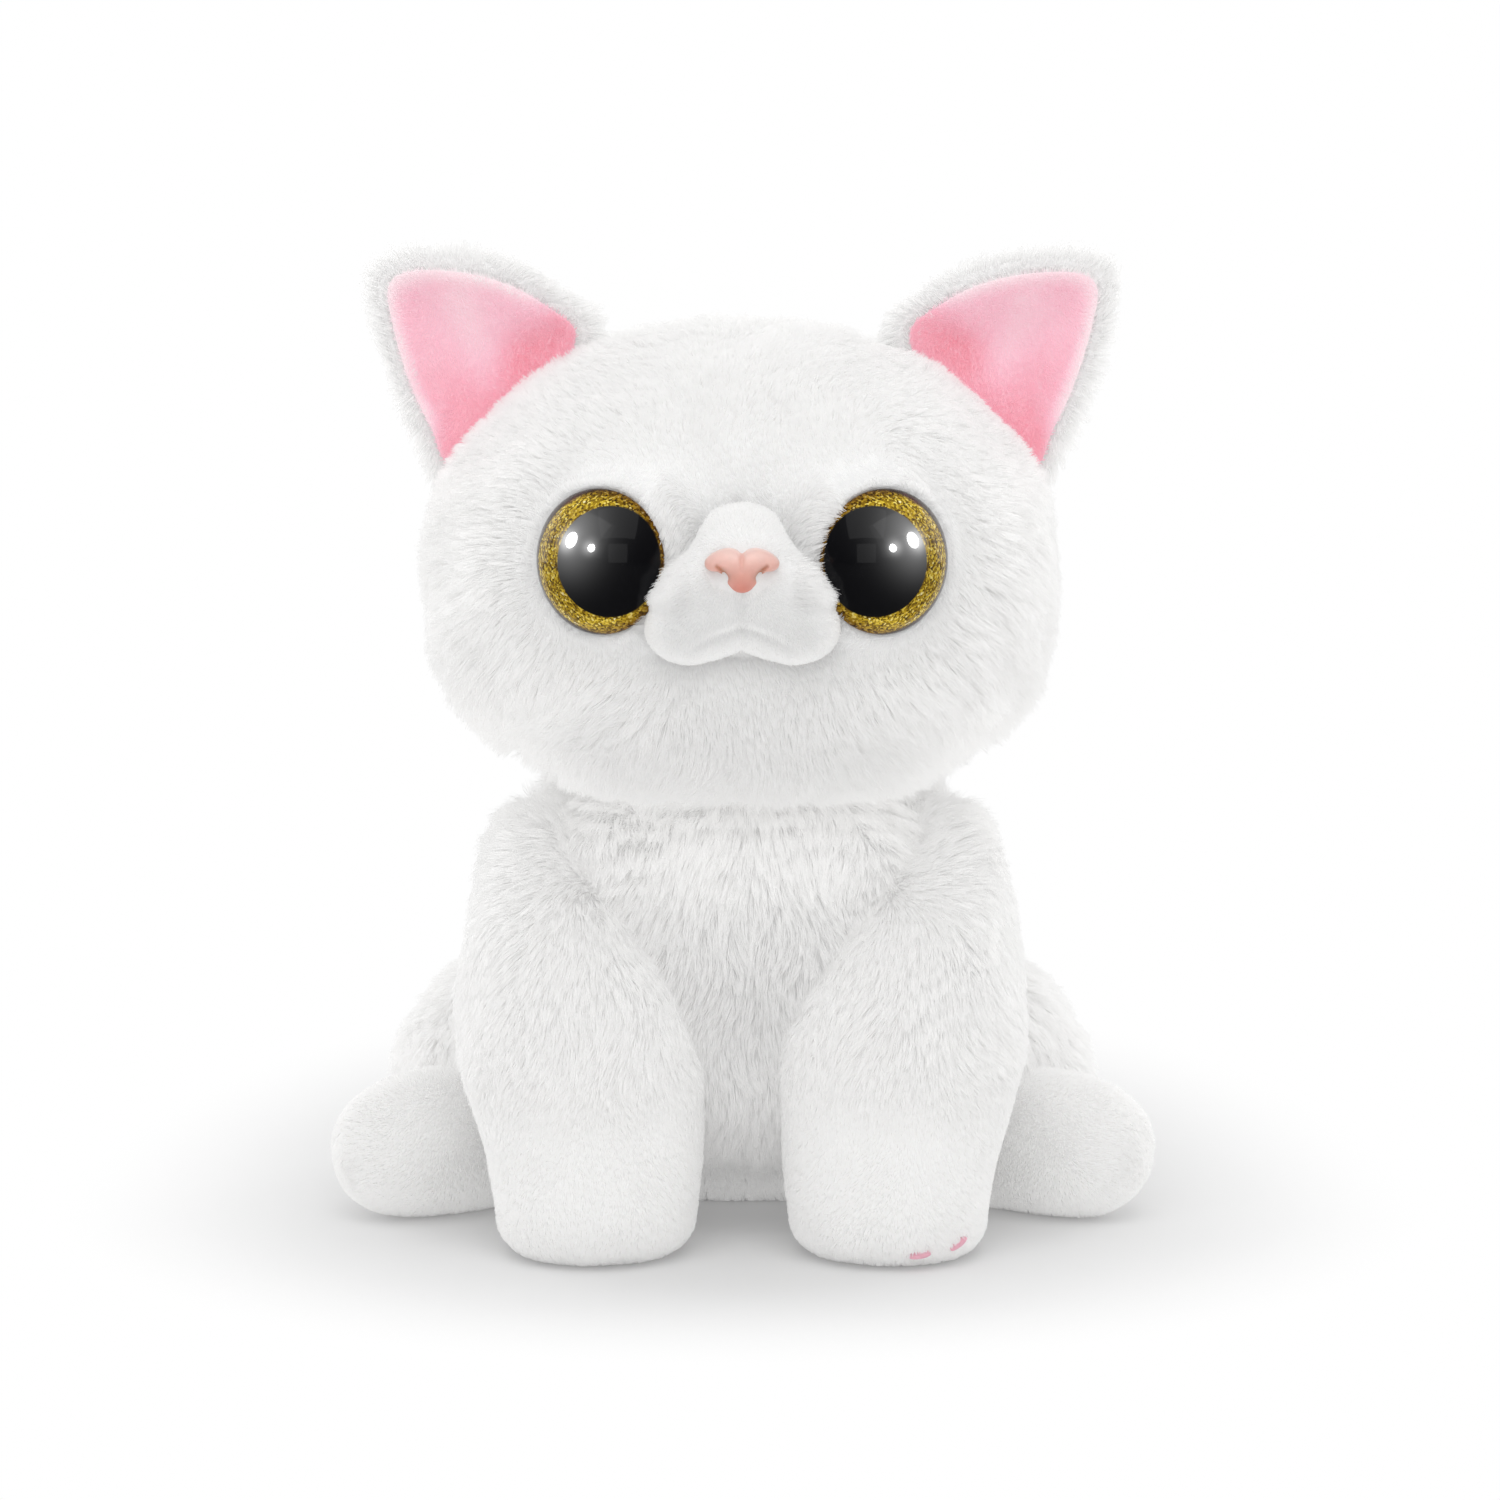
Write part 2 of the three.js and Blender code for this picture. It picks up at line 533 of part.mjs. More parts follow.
// The cuts leave several pieces of the haunch; the largest is kept.
const haunch = pile(HAUNCH, 0, { sides: 16, power: 2.05 })
  .subtract(torsoForm(SEAM_GAP))
  .subtract(footRoom(0))
  .subtract(forelegRoom(0))
  .decompose()
  .sort((a, b) => b.volume() - a.volume())[0];
const foreleg = pile(FORELEG, 0, { sides: 14, power: 2.1 });
const hindFoot = limb(FOOT, 0, 14).subtract(floorCut);
const tail = limb(TAIL, 0, 12).subtract(floorCut).subtract(torsoBody);

// ---------------------------------------------------------------- module case
const POST_INSET = 3.6; // from the case's sides to each screw post's axis
const postX = CASE.width / 2 - POST_INSET;
const postY = CASE.depth / 2 - POST_INSET;
const posts = [
  [-postX, CASE.y - postY], [postX, CASE.y - postY],
  [-postX, CASE.y + postY], [postX, CASE.y + postY],
];
const POST_RADIUS = 2.9;
const POST_BORE = 1.35;
const HALVES_GAP = 0.3; // between the two halves of the case
const SWITCH_X = 15;
const bayX = (BAY.x0 + BAY.x1) / 2;
const bayLength = BAY.x1 - BAY.x0;
const onCaseY = (radius, height, x, z, sides) => upright(radius, height, [x, CASE.y, z], sides);
const caseBlock = (inset, z0, z1) =>
  caseSlab(CASE.width - 2 * inset, CASE.depth - 2 * inset, CASE.corner - inset, z0, z1);

function makeCaseLower() {
  let shell = caseBlock(0, 0, CASE.split)
    .subtract(caseBlock(CASE.wall, CASE.wall + 0.4, CASE.split + 1))
    .add(box(bayLength + 2 * BAY.wall, BAY.width + 2 * BAY.wall, 16.2, [bayX, CASE.y, 0]))
    .add(onCaseY(3.1, 8, DOOR.screwX, 0, 16));
  for (const [x, y] of posts) shell = shell.add(upright(POST_RADIUS, CASE.split, [x, y, 0], 8));
  const doorX = (DOOR.x0 + DOOR.x1) / 2;
  shell = shell
    .subtract(box(bayLength, BAY.width, 16.1, [bayX, CASE.y, -1]))
    .subtract(box(DOOR.x1 - DOOR.x0 + 0.6, DOOR.width + 0.6, 2, [doorX, CASE.y, -0.3]))
    .subtract(onCaseY(1.7, 7.6, DOOR.screwX, -1, 12));
  for (const [x, y] of posts) {
    shell = shell
      .subtract(upright(POST_BORE, 40, [x, y, -5], 8))
      .subtract(upright(2.4, 4.1, [x, y, -1], 10)); // screw head recess
  }
  return shell.subtract(box(3.6, 7.6, 6, [SWITCH_X, CASE.y, -1])); // switch slot
}

function makeCaseUpper() {
  const base = CASE.split + HALVES_GAP;
  let shell = caseBlock(0, base, CASE.top)
    .subtract(caseBlock(CASE.wall, CASE.split - 1, CASE.top - CASE.wall));
  for (const [x, y] of posts) {
    shell = shell
      .add(upright(POST_RADIUS, CASE.top - CASE.split - 0.5, [x, y, base], 8))
      .subtract(upright(POST_BORE, 10, [x, y, CASE.split - 2], 8));
  }
  // holes over the speaker: one in the centre and a ring of six
  const topHole = (radius, x, y) => upright(radius, 8, [x, y, CASE.top - 4], 6);
  shell = shell.subtract(topHole(1.3, 0, CASE.y));
  for (let i = 0; i < 6; i++) {
    const angle = (2 * Math.PI * (i + 0.5)) / 6;
    const x = 5.4 * Math.cos(angle);
    shell = shell.subtract(topHole(1.3, x, CASE.y + 5.4 * Math.sin(angle)));
  }
  // one wider hole on each side of them
  for (const x of [9, -12]) shell = shell.subtract(topHole(1.8, x, CASE.y - 1.8));
  return shell;
}

// Cutter for the cross recess of a screw head.
const crossSlot = (length, depth, base) =>
  box(length, 0.6, depth, base).add(box(0.6, length, depth, base));

function makeCaseScrew([x, y]) {
  return upright(1, 20, [x, y, 2.2], 8)
    .add(upright(2.1, 1.2, [x, y, 1.7], 10))
    .subtract(crossSlot(2.6, 0.7, [x, y, 1.3]));
}

// ---------------------------------------------------------------- battery bay
// The door turns on a round edge at its -X end and is screwed down at its +X end.
function makeDoor() {
  const hinge = DOOR.x0 + DOOR.thick / 2;
  const middle = [(DOOR.x1 + hinge) / 2, CASE.y, 0];
  const hingeBase = [hinge, CASE.y - DOOR.width / 2, DOOR.thick / 2];
  let door = box(DOOR.x1 - hinge, DOOR.width, DOOR.thick, middle)
    .add(cylinder(DOOR.thick / 2, DOOR.width, hingeBase, BACK, 16))
    .subtract(onCaseY(1.3, 4, DOOR.screwX, -1, 14))
    .subtract(onCaseY(2.5, 1.75, DOOR.screwX, -1, 16));
  // three grooves in the underside
  for (let i = 0; i < 3; i++) door = door.subtract(box(0.7, 8, 0.7, [-9 + i * 2, CASE.y, -0.4]));
  return door;
}

const doorScrew = onCaseY(2.15, 0.6, DOOR.screwX, 0.05, 14)
  .add(onCaseY(1, 4.6, DOOR.screwX, 0.3, 10))
  .subtract(crossSlot(2.4, 0.4, [DOOR.screwX, CASE.y, -0.1]));

function makeCell(i) {
  const base = [BAY.x0 + 0.9 + i * (CELL.length + CELL.gap), CASE.y, CELL.z];
  return cylinder(CELL.radius, CELL.length - 0.8, base, [1, 0, 0], 16)
    .add(cylinder(4.6, CELL.length, base, [1, 0, 0], 12));
}

const CONTACT_INSET = 0.4; // from each end of the bay to the middle of its contact
const contactSheet = (x) => box(0.4, 9, 9, [x, CASE.y, CELL.z - 4.5]);
const plateX = BAY.x0 + CONTACT_INSET;
const contactPlate = contactSheet(plateX).add(box(0.4, 2, 3, [plateX, CASE.y, CELL.z + 3]));

// A sheet with a conical spring that narrows toward the cells.
function makeContactSpring() {
  const TURNS = 2.4;
  const STEPS = 18;
  const sheetX = BAY.x1 - CONTACT_INSET;
  const path = [];
  for (let i = 0; i <= STEPS; i++) {
    const part = i / STEPS;
    const angle = part * TURNS * 2 * Math.PI;
    const radius = 3.2 - 1.5 * part;
    path.push([
      sheetX - 1.5 * part,
      CASE.y + radius * Math.cos(angle),
      CELL.z + radius * Math.sin(angle),
    ]);
  }
  return contactSheet(sheetX).add(tube(path, 0.3, 20, 4));
}

// ---------------------------------------------------------------- electronics
const circuitBoard = caseSlab(32, 28, 1, 17.5, 18.7, 2)
  .subtract(bothSides(upright(1, 4, [13.6, CASE.y - 11.6, 17], 8)));
const CHIP = [[0, 0], [3.6, 0], [3.3, 0.8], [1.8, 1.3], [0, 1.45]]; // [radius, height]
const soundChip = lathe(CHIP, [-11, CASE.y + 9.4, 18.9], UP, 10);

const speakerDisc = (radius, height, z, sides) => onCaseY(radius, height, 0, z, sides);
const speakerFrame = speakerDisc(14, 4.6, 23.6, 20)
  .subtract(speakerDisc(12.9, 4.6, 24.6, 20))
  .subtract(speakerDisc(5.2, 3, 23, 12));
// [radius, z] round the coil sleeve, the cap and the cone.
const SPEAKER_CONE = [
  [4.3, 25.2], [4.3, 21.4], [3.7, 21.4], [3.7, 25.9], [0, 26.2], [0, 26.6], [4, 26.3],
  [11.9, 27.9], [11.9, 27.4], [4.3, 25.2],
];
const speakerCone = lathe(SPEAKER_CONE, [0, CASE.y, 0], UP, 16);
const speakerMagnet = speakerDisc(8.2, 4, 19.3, 16)
  .subtract(speakerDisc(4.9, 4, 20.6, 14))
  .add(speakerDisc(3.1, 3.6, 20.2, 10));
function makeSpeakerWire(offsetY) {
  const path = [[15.3, 25.2], [16, 23.4], [16, 20.8], [15, 19.5]]; // [x, z]
  return tube(path.map(([x, z]) => [x, CASE.y + offsetY, z]), 0.45, 6, 4);
}

const switchBody = box(8, 11, 4.6, [SWITCH_X, CASE.y, 3.3])
  .subtract(box(3, 8.2, 2.8, [SWITCH_X, CASE.y, 2.6]));
const switchKnob = box(2.6, 2.6, 3.2, [SWITCH_X, CASE.y, 1.5])
  .add(box(3, 3, 0.5, [SWITCH_X, CASE.y, 1.1]));

// ---------------------------------------------------------------- materials
const paint = (look) => new THREE.MeshStandardMaterial({ metalness: 0, ...look });
const MATERIAL = {
  fur: paint({ color: 0xf6f6f6, roughness: 0.95 }),
  velour: paint({ color: 0xf7f7f7, roughness: 0.9 }),
  pink: paint({ color: 0xf4b8c8, roughness: 0.9 }),
  fill: paint({ color: 0xffffff, roughness: 1 }),
  nose: paint({ color: 0xeeb5a8, roughness: 0.35 }),
  eye: paint({ color: 0xc9a227, roughness: 0.12 }),
  black: paint({ color: 0x111111, roughness: 0.4 }),
  washer: paint({ color: 0xe8e8e6, roughness: 0.5 }),
  shell: paint({ color: 0xf0efec, roughness: 0.45 }),
  steel: paint({ color: 0xb9bcc0, roughness: 0.3, metalness: 1 }),
  board: paint({ color: 0x1f6b3a, roughness: 0.5 }),
  chip: paint({ color: 0x141414, roughness: 0.5 }),
  cone: paint({ color: 0x2a2a2a, roughness: 0.8 }),
  cable: paint({ color: 0xd8d8d6, roughness: 0.6 }),
  red: paint({ color: 0xb3261e, roughness: 0.5 }),
  switch: paint({ color: 0x2b2b2b, roughness: 0.5 }),
};

// ---------------------------------------------------------------- scene
const toy = new THREE.Group();

// Pieces are [name, solid, material].
function addGroup(groupName, pieces) {
  const group = new THREE.Group();
  group.name = `${groupName}_group`;
  for (const [name, solid, material] of pieces) {
    const mesh = new THREE.Mesh(geometryOf(solid), material);
    mesh.name = name;
    group.add(mesh);
  }
  toy.add(group);
}

// Left pieces as built, then their mirror images on the right.
const leftAndRight = (pieces) => [
  ...pieces.map(([name, solid, material]) => [`${name}_left`, solid, material]),
  ...pieces.map(([name, solid, material]) => [`${name}_right`, mirrored(solid), material]),
];

addGroup("torso", [
  ["torso_skin", torsoSkin, MATERIAL.fur],
  ["torso_stuffing", torsoStuffing, MATERIAL.fill],
  ...leftAndRight([["haunch", haunch, MATERIAL.fur]]),
  ["cable_body", cableBody, MATERIAL.cable],
  ["pat_switch_housing", patHousing, MATERIAL.switch],
  ["pat_switch_plunger", patPlunger, MATERIAL.red],
  ["cable_pat", cablePat, MATERIAL.cable],
]);
addGroup("neck", [
  ["neck_core", neckCore, MATERIAL.fill],
  ["cable_neck", cableNeck, MATERIAL.cable],
]);
addGroup("head", [
  ["head_skin", headSkin, MATERIAL.fur],
  ["head_stuffing", headStuffing, MATERIAL.fill],
  ["muzzle", muzzle, MATERIAL.velour],
  ["nose", nose, MATERIAL.nose],
  ["nose_washer", noseWasher, MATERIAL.washer],
  ...leftAndRight([
    ["eye_dome", eyeDome, MATERIAL.eye],
    ["eye_post", eyePost, MATERIAL.black],
    ["eye_washer", eyeWasher, MATERIAL.washer],
  ]),
  ["mouth_switch_housing", mouthHousing, MATERIAL.switch],
  ["mouth_switch_plunger", mouthPlunger, MATERIAL.red],
  ["cable_head", cableHead, MATERIAL.cable],
]);
addGroup("ears", leftAndRight([
  ["ear_back", earBack, MATERIAL.fur],
  ["ear_lining", earLining, MATERIAL.pink],
]));
addGroup("legs", leftAndRight([
  ["foreleg", foreleg, MATERIAL.fur],
  ["hind_foot", hindFoot, MATERIAL.velour],
]));
addGroup("tail", [["tail", tail, MATERIAL.fur]]);
addGroup("module", [
  ["module_case_lower", makeCaseLower(), MATERIAL.shell],
  ["module_case_upper", makeCaseUpper(), MATERIAL.shell],
  ...posts.map((post, i) => [`case_screw_${i + 1}`, makeCaseScrew(post), MATERIAL.steel]),
  ["battery_door", makeDoor(), MATERIAL.shell],
  ["battery_door_screw", doorScrew, MATERIAL.steel],
  ...[0, 1, 2].map((i) => [`button_cell_${i + 1}`, makeCell(i), MATERIAL.steel]),
  ["contact_plate", contactPlate, MATERIAL.steel],
  ["contact_spring", makeContactSpring(), MATERIAL.steel],
  ["circuit_board", circuitBoard, MATERIAL.board],
  ["sound_chip", soundChip, MATERIAL.chip],
  ["speaker_frame", speakerFrame, MATERIAL.steel],
  ["speaker_cone", speakerCone, MATERIAL.cone],
  ["speaker_magnet", speakerMagnet, MATERIAL.steel],
  ["speaker_wire_red", makeSpeakerWire(-1.6), MATERIAL.red],
  ["speaker_wire_black", makeSpeakerWire(1.6), MATERIAL.black],
  ["power_switch_body", switchBody, MATERIAL.switch],
  ["power_switch_knob", switchKnob, MATERIAL.switch],
]);

export default toy;
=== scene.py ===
"""Looks for the seated plush kitten: plush skins with combed pile, domed eyes, moulded nose, lined ears and the module's finishes."""
import math

import bpy
import numpy as np
from mathutils import Matrix, Vector
from mathutils.kdtree import KDTree


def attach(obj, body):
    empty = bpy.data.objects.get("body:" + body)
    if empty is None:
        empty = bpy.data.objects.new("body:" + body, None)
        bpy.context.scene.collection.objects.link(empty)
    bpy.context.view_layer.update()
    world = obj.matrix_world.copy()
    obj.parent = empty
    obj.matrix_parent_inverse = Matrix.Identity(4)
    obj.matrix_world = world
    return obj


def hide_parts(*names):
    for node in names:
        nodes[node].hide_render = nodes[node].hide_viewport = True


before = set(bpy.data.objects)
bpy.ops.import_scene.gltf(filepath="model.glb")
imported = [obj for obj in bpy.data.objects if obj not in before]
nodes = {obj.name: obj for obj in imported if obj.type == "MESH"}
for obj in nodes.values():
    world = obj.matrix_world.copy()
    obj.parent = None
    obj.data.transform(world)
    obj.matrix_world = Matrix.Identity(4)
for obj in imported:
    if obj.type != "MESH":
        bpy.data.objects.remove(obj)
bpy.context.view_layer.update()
rng = np.random.default_rng(11)
MM = 0.001
DENSITY = 1.0

# ------------------------------------------------------------------ tables (mm), as in the CAD source
HEAD = [
    (88.5, 21, -27, 19), (90, 32.5, -36, 27), (93, 41.4, -44, 33.5), (99, 48.6, -50.5, 38.5), (107, 53.4, -55, 42), (116.5, 56.2, -57.8, 43.8),
    (127, 57, -58.8, 44.2), (137, 56, -57.6, 43.6), (146, 52.8, -54.2, 41), (154, 47.2, -48.8, 36.8), (161.5, 39, -41.4, 30.4), (167.4, 29, -32, 22),
    (171.2, 17, -21, 11.6), (172.6, 7, -11, 2.2)]
TORSO = [
    (0, 33, 4, 49.5), (2.6, 37.5, 0.5, 53), (7.5, 40.5, -8, 55), (12.5, 42.6, -18.5, 56), (19, 44.4, -28.6, 56.4),
    (28, 45.6, -34.6, 56), (38, 46, -37.6, 54), (49, 45.2, -38.6, 50), (59, 43.6, -38.2, 45), (68, 41.4, -36.6, 39.4),
    (75, 38.4, -34, 34), (80, 34.2, -30, 28.6), (83, 28, -25, 23.4), (84.4, 21, -20, 17)]
FORELEG = [
    (0, 11, -51, -29, 28.6), (1.6, 14.4, -56.5, -24, 28.7), (5, 16.8, -60.4, -20.4, 28.7), (10, 17.5, -61.6, -18.6, 28.7), (17, 18.6, -59.6, -17, 29),
    (26, 20.6, -56, -14.8, 29.8), (36, 21.6, -52.8, -12.6, 30.4), (47, 20.4, -49, -10.4, 32), (57, 16.8, -44, -8, 34.6),
    (66, 12.8, -37, -4.6, 36.8), (73, 9.2, -30.5, -3.2, 38.2), (78, 5.6, -25, -6, 38.8), (79.8, 2.8, -19.5, -11.5, 39)]
HAUNCH = [
    (0.4, 15, 4, 40, 38), (3, 19.5, -2, 45, 38.4), (9, 23, -6.5, 49.5, 39), (17, 25.4, -9, 52, 39.6), (25, 26, -9, 52, 39.8),
    (33, 23.4, -6, 49.5, 39), (40, 18.6, -1, 44.5, 37.6), (45.2, 12, 6, 37.5, 36), (47.2, 5.6, 13, 29, 35.2)]
FOOT = [
    (34, 13.6, 13.6, 6.4, 7.2), (36, 12.2, 13.7, 9.6, 10.2), (40.4, 9, 13.8, 12.2, 12.6), (47, 4.2, 13.9, 13.6, 13.6), (54.5, -1.2, 13.9, 13.8, 13.6),
    (61.5, -6.4, 13.8, 13.6, 13.4), (67.6, -10.8, 13.6, 12.4, 12.4), (72, -14, 13.4, 10.2, 10.4), (75, -16.2, 13.2, 7, 7.2), (76.4, -17.2, 13.1, 3.2, 3.4)]
TAIL = [
    (-1, 59.8, 10.8, 4.6, 5), (0.6, 61.8, 10.4, 6.6, 7), (6, 65, 9.6, 7.4, 7.6), (14, 66.8, 9, 7.5, 7.6), (24, 67.3, 8.6, 7.4, 7.5),
    (34, 66.2, 8.4, 7.2, 7.4), (43, 63, 8.2, 6.8, 7.2), (49.6, 59.2, 8, 5.4, 5.8), (52.6, 57, 7.9, 2.8, 3.2)]
MUZZLE = [
    (0, 143.4), (4.1, 142.6), (7.1, 140.0), (9.6, 136.0), (12.7, 131.8), (15.6, 127.4), (17.6, 122.9), (17.2, 119.2), (14.6, 116.4), (9.7, 115.1), (4.6, 116.1), (0, 117.3)]
EAR = [
    (44, 150), (52, 143), (57.4, 143.4), (60.6, 151), (64.4, 159), (67.4, 167.4), (69.6, 176), (70.4, 181.4), (69, 184.6), (64.6, 186.2), (57, 186.4),
    (49.6, 185.4), (42, 183), (35, 179), (28.6, 173.6), (31, 165), (37, 157)]
EARC, EARY = (53.5, 168.6), -6.0
EYE = dict(r=13.5, dome=8.2, x=25.4, y=-54.2, z=133.2, yaw=28.0, pitch=2.0)
NOSE = dict(y=-71.8, z=133.8)


# ------------------------------------------------------------------ geometry helpers
def hermite(table, n, closed=False):
    """n rows on a smooth curve through the table's rows."""
    T = np.array(table, float)
    if closed:
        T = np.vstack([T[-1], T, T[0], T[1]])
    step = np.sqrt((np.diff(T, axis=0) ** 2).sum(1)) ** 0.5
    t = np.r_[0, np.cumsum(step)]
    m = np.gradient(T, t, axis=0)
    lo, hi = (t[1], t[-2]) if closed else (t[0], t[-1])
    u = np.linspace(lo, hi, n, endpoint=not closed)
    i = np.clip(np.searchsorted(t, u, side="right") - 1, 0, len(t) - 2)
    h = (t[i + 1] - t[i])[:, None]
    s = ((u - t[i])[:, None]) / h
    return ((2 * s**3 - 3 * s**2 + 1) * T[i] + (s**3 - 2 * s**2 + s) * h * m[i]
            + (-2 * s**3 + 3 * s**2) * T[i + 1] + (s**3 - s**2) * h * m[i + 1])


def mesh_object(name, verts, faces, smooth=True):
    me = bpy.data.meshes.new(name)
    me.from_pydata([tuple(v) for v in verts], [], [tuple(int(i) for i in f) for f in faces])
    me.update()
    if smooth:
        me.polygons.foreach_set("use_smooth", np.ones(len(me.polygons), bool))
    ob = bpy.data.objects.new(name, me)
    bpy.context.scene.collection.objects.link(ob)
    return ob


def ring_mesh(first, rings, last):
    """Vertices and faces of a closed solid through rings (k, n, 3) with a point at each end."""
    k, n = rings.shape[:2]
    V = np.vstack([[first], rings.reshape(-1, 3), [last]])
    a = 1 + np.arange(k - 1)[:, None] * n + np.arange(n)[None]
    b = 1 + np.arange(k - 1)[:, None] * n + (np.arange(n)[None] + 1) % n
    quads = np.stack([a, b, b + n, a + n], -1).reshape(-1, 4)
    F = [list(q) for q in quads]
    e = len(V) - 1
    F += [[0, 1 + (i + 1) % n, 1 + i] for i in range(n)]
    F += [[e, e - n + i, e - n + (i + 1) % n] for i in range(n)]
    c = V.mean(0)
    q = quads[len(quads) // 2]
    nrm = np.cross(V[q[1]] - V[q[0]], V[q[2]] - V[q[1]])
    if nrm @ (V[q[0]] - c) < 0:
        F = [f[::-1] for f in F]
    return V, F


def superellipse(cx, cy, rx, ry, p, n):
    a = 2 * np.pi * np.arange(n) / n
    s, k = np.sin(a), np.cos(a)
    f = (np.abs(k) ** p + np.abs(s) ** p) ** (-1 / p)
    return cx + rx * f * k, cy + ry * f * s


def pile_mesh(table, p=2.3, n=96, rows=72, grow=0.0, sx=1):
    T = [list(r) + [0.0] * (5 - len(r)) for r in table]
    T = hermite([[r[0], r[1], r[2], r[3], r[4]] for r in T], rows)
    rings = []
    for z, w, yf, yb, x in T:
        X, Y = superellipse(x * sx, (yf + yb) / 2, max(w, 0.2) + grow, max((yb - yf) / 2, 0.2) + grow, p, n)
        rings.append(np.c_[X, Y, np.full(n, z)])
    rings = np.array(rings)
    first, last = rings[0].mean(0), rings[-1].mean(0)
    return ring_mesh(first, rings, last)


def limb_mesh(path, n=64, rows=64, grow=0.0, sx=1):
    T = hermite(path, rows)
    C = T[:, :3].copy()
    tan = np.gradient(C, axis=0)
    tan /= np.linalg.norm(tan, axis=1)[:, None]
    side = np.cross([0, 0, 1.0], tan)
    side /= np.linalg.norm(side, axis=1)[:, None]
    up = np.cross(tan, side)
    a = 2 * np.pi * np.arange(n) / n
    rings = C[:, None] + side[:, None] * (T[:, 3, None, None] + grow) * np.cos(a)[None, :, None] + up[:, None] * (T[:, 4, None, None] + grow) * np.sin(a)[None, :, None]
    first = C[0] - tan[0] * 1.0
    last = C[-1] + tan[-1] * 1.2
    rings[..., 0] *= sx
    first[0] *= sx
    last[0] *= sx
    rings[..., 2] = np.maximum(rings[..., 2], 0.3)
    return ring_mesh(first, rings, last)


def join_mesh(parts):
    V, F, o = [], [], 0
    for v, f in parts:
        V.append(v)
        F += [[i + o for i in q] for q in f]
        o += len(v)
    return np.vstack(V), F


def baked(ob):
    """The object's mesh with its modifiers applied."""
    dg = bpy.context.evaluated_depsgraph_get()
    dg.update()
    me = bpy.data.meshes.new_from_object(ob.evaluated_get(dg), depsgraph=dg)
    ob.modifiers.clear()
    old = ob.data
    ob.data = me
    me.name = ob.name
    me.polygons.foreach_set("use_smooth", np.ones(len(me.polygons), bool))
    bpy.data.meshes.remove(old)
    return ob


def soft(ob, voxel, smooth, factor=0.6):
    m = ob.modifiers.new("r", "REMESH")
    m.mode, m.voxel_size = "VOXEL", voxel * MM
    s = ob.modifiers.new("s", "SMOOTH")
    s.factor, s.iterations = factor, smooth
    return baked(ob)


def arrays(ob):
    me = ob.data
    me.calc_loop_triangles()
    V = np.empty(len(me.vertices) * 3, np.float32)
    me.vertices.foreach_get("co", V)
    N = np.empty(len(me.vertices) * 3, np.float32)
    me.vertices.foreach_get("normal", N)
    T = np.empty(len(me.loop_triangles) * 3, np.int32)
    me.loop_triangles.foreach_get("vertices", T)
    return V.reshape(-1, 3).astype(float) / MM, N.reshape(-1, 3).astype(float), T.reshape(-1, 3)


def set_points(ob, V):
    ob.data.vertices.foreach_set("co", (V * MM).astype(np.float32).ravel())
    ob.data.update()


def wave(P, scale, seed, dims=1):
    """Smooth random field, about -1 to 1, that varies over 'scale' mm."""
    r = np.random.default_rng(seed)
    out = np.zeros((len(P), dims))
    for _ in range(7):
        k = r.normal(size=(3, dims)) / scale * 1.1
        ph = r.uniform(0, 6.28, dims)
        out += np.sin(P @ k + ph)
    out /= 2.6
    return out[:, 0] if dims == 1 else out


def inside_pile(P, table, p, d, sx=1):
    """True for points within the sections grown by d."""
    T = hermite([list(r) + [0.0] * (5 - len(r)) for r in table], 90)
    T = T[np.argsort(T[:, 0])]
    z = P[:, 2]
    c = [np.interp(z, T[:, 0], T[:, i]) for i in range(1, 5)]
    rx, ry, cy, cx = c[0] + d, (c[2] - c[1]) / 2 + d, (c[1] + c[2]) / 2, c[3] * sx
    q = (np.abs((P[:, 0] - cx) / rx) ** p + np.abs((P[:, 1] - cy) / ry) ** p)
    return (q < 1) & (z > T[0, 0] - d) & (z < T[-1, 0] + d)


def inside_limb(P, path, d, sx=1):
    T = hermite(path, 60)
    C = T[:, :3] * [sx, 1, 1]
    best = np.full(len(P), 1e9)
    for i in range(len(C)):
        r = (T[i, 3] + T[i, 4]) / 2 + d
        best = np.minimum(best, np.linalg.norm(P - C[i], axis=1) / r)
    return best < 1


eye_frames = {}
for side, sx in (("left", 1), ("right", -1)):
    n = Vector((0, -1, 0))
    n.rotate(Matrix.Rotation(math.radians(-EYE["pitch"]), 3, "X"))
    n.rotate(Matrix.Rotation(math.radians(EYE["yaw"]), 3, "Z"))
    n = Vector((n.x * sx, n.y, n.z))
    up = (Vector((0, 0, 1)) - n * n.z).normalized()
    inward = Vector((-sx, 0, 0))
    inward = (inward - n * inward.dot(n) - up * inward.dot(up)).normalized()  # towards the nose
    eye_frames[side] = (Vector((EYE["x"] * sx, EYE["y"], EYE["z"])), n, up, inward)


def eye_coords(P, side):
    """Across (towards the nose), up and out distances of points from an eye's base centre."""
    c, n, up, inward = eye_frames[side]
    d = P - np.array(c)
    return d @ np.array(inward), d @ np.array(up), d @ np.array(n)


# ------------------------------------------------------------------ materials
def material(name):
    m = bpy.data.materials.new(name)
    m.use_nodes = True
    nt = m.node_tree
    nt.nodes.clear()
    out = nt.nodes.new("ShaderNodeOutputMaterial")
    b = nt.nodes.new("ShaderNodeBsdfPrincipled")
    nt.links.new(b.outputs[0], out.inputs[0])
    return m, nt, b


def node(nt, kind, **inputs):
    n = nt.nodes.new(kind)
    for k, v in inputs.items():
        key = k.replace("_", " ")
        if key in n.inputs:
            n.inputs[key].default_value = v
        else:
            setattr(n, k, v)
    return n


def ramp(nt, src, stops):
    r = nt.nodes.new("ShaderNodeValToRGB")
    e = r.color_ramp.elements
    while len(e) > 1:
        e.remove(e[-1])
    for i, (pos, col) in enumerate(stops):
        el = e[0] if i == 0 else e.new(pos)
        el.position = pos
        el.color = (*col, 1)
    nt.links.new(src, r.inputs[0])
    return r.outputs[0]


PAINTED_GLOW = 0.07  # painted glow: emission strength given to the white pile and cloth, standing in for light scattered inside the pile
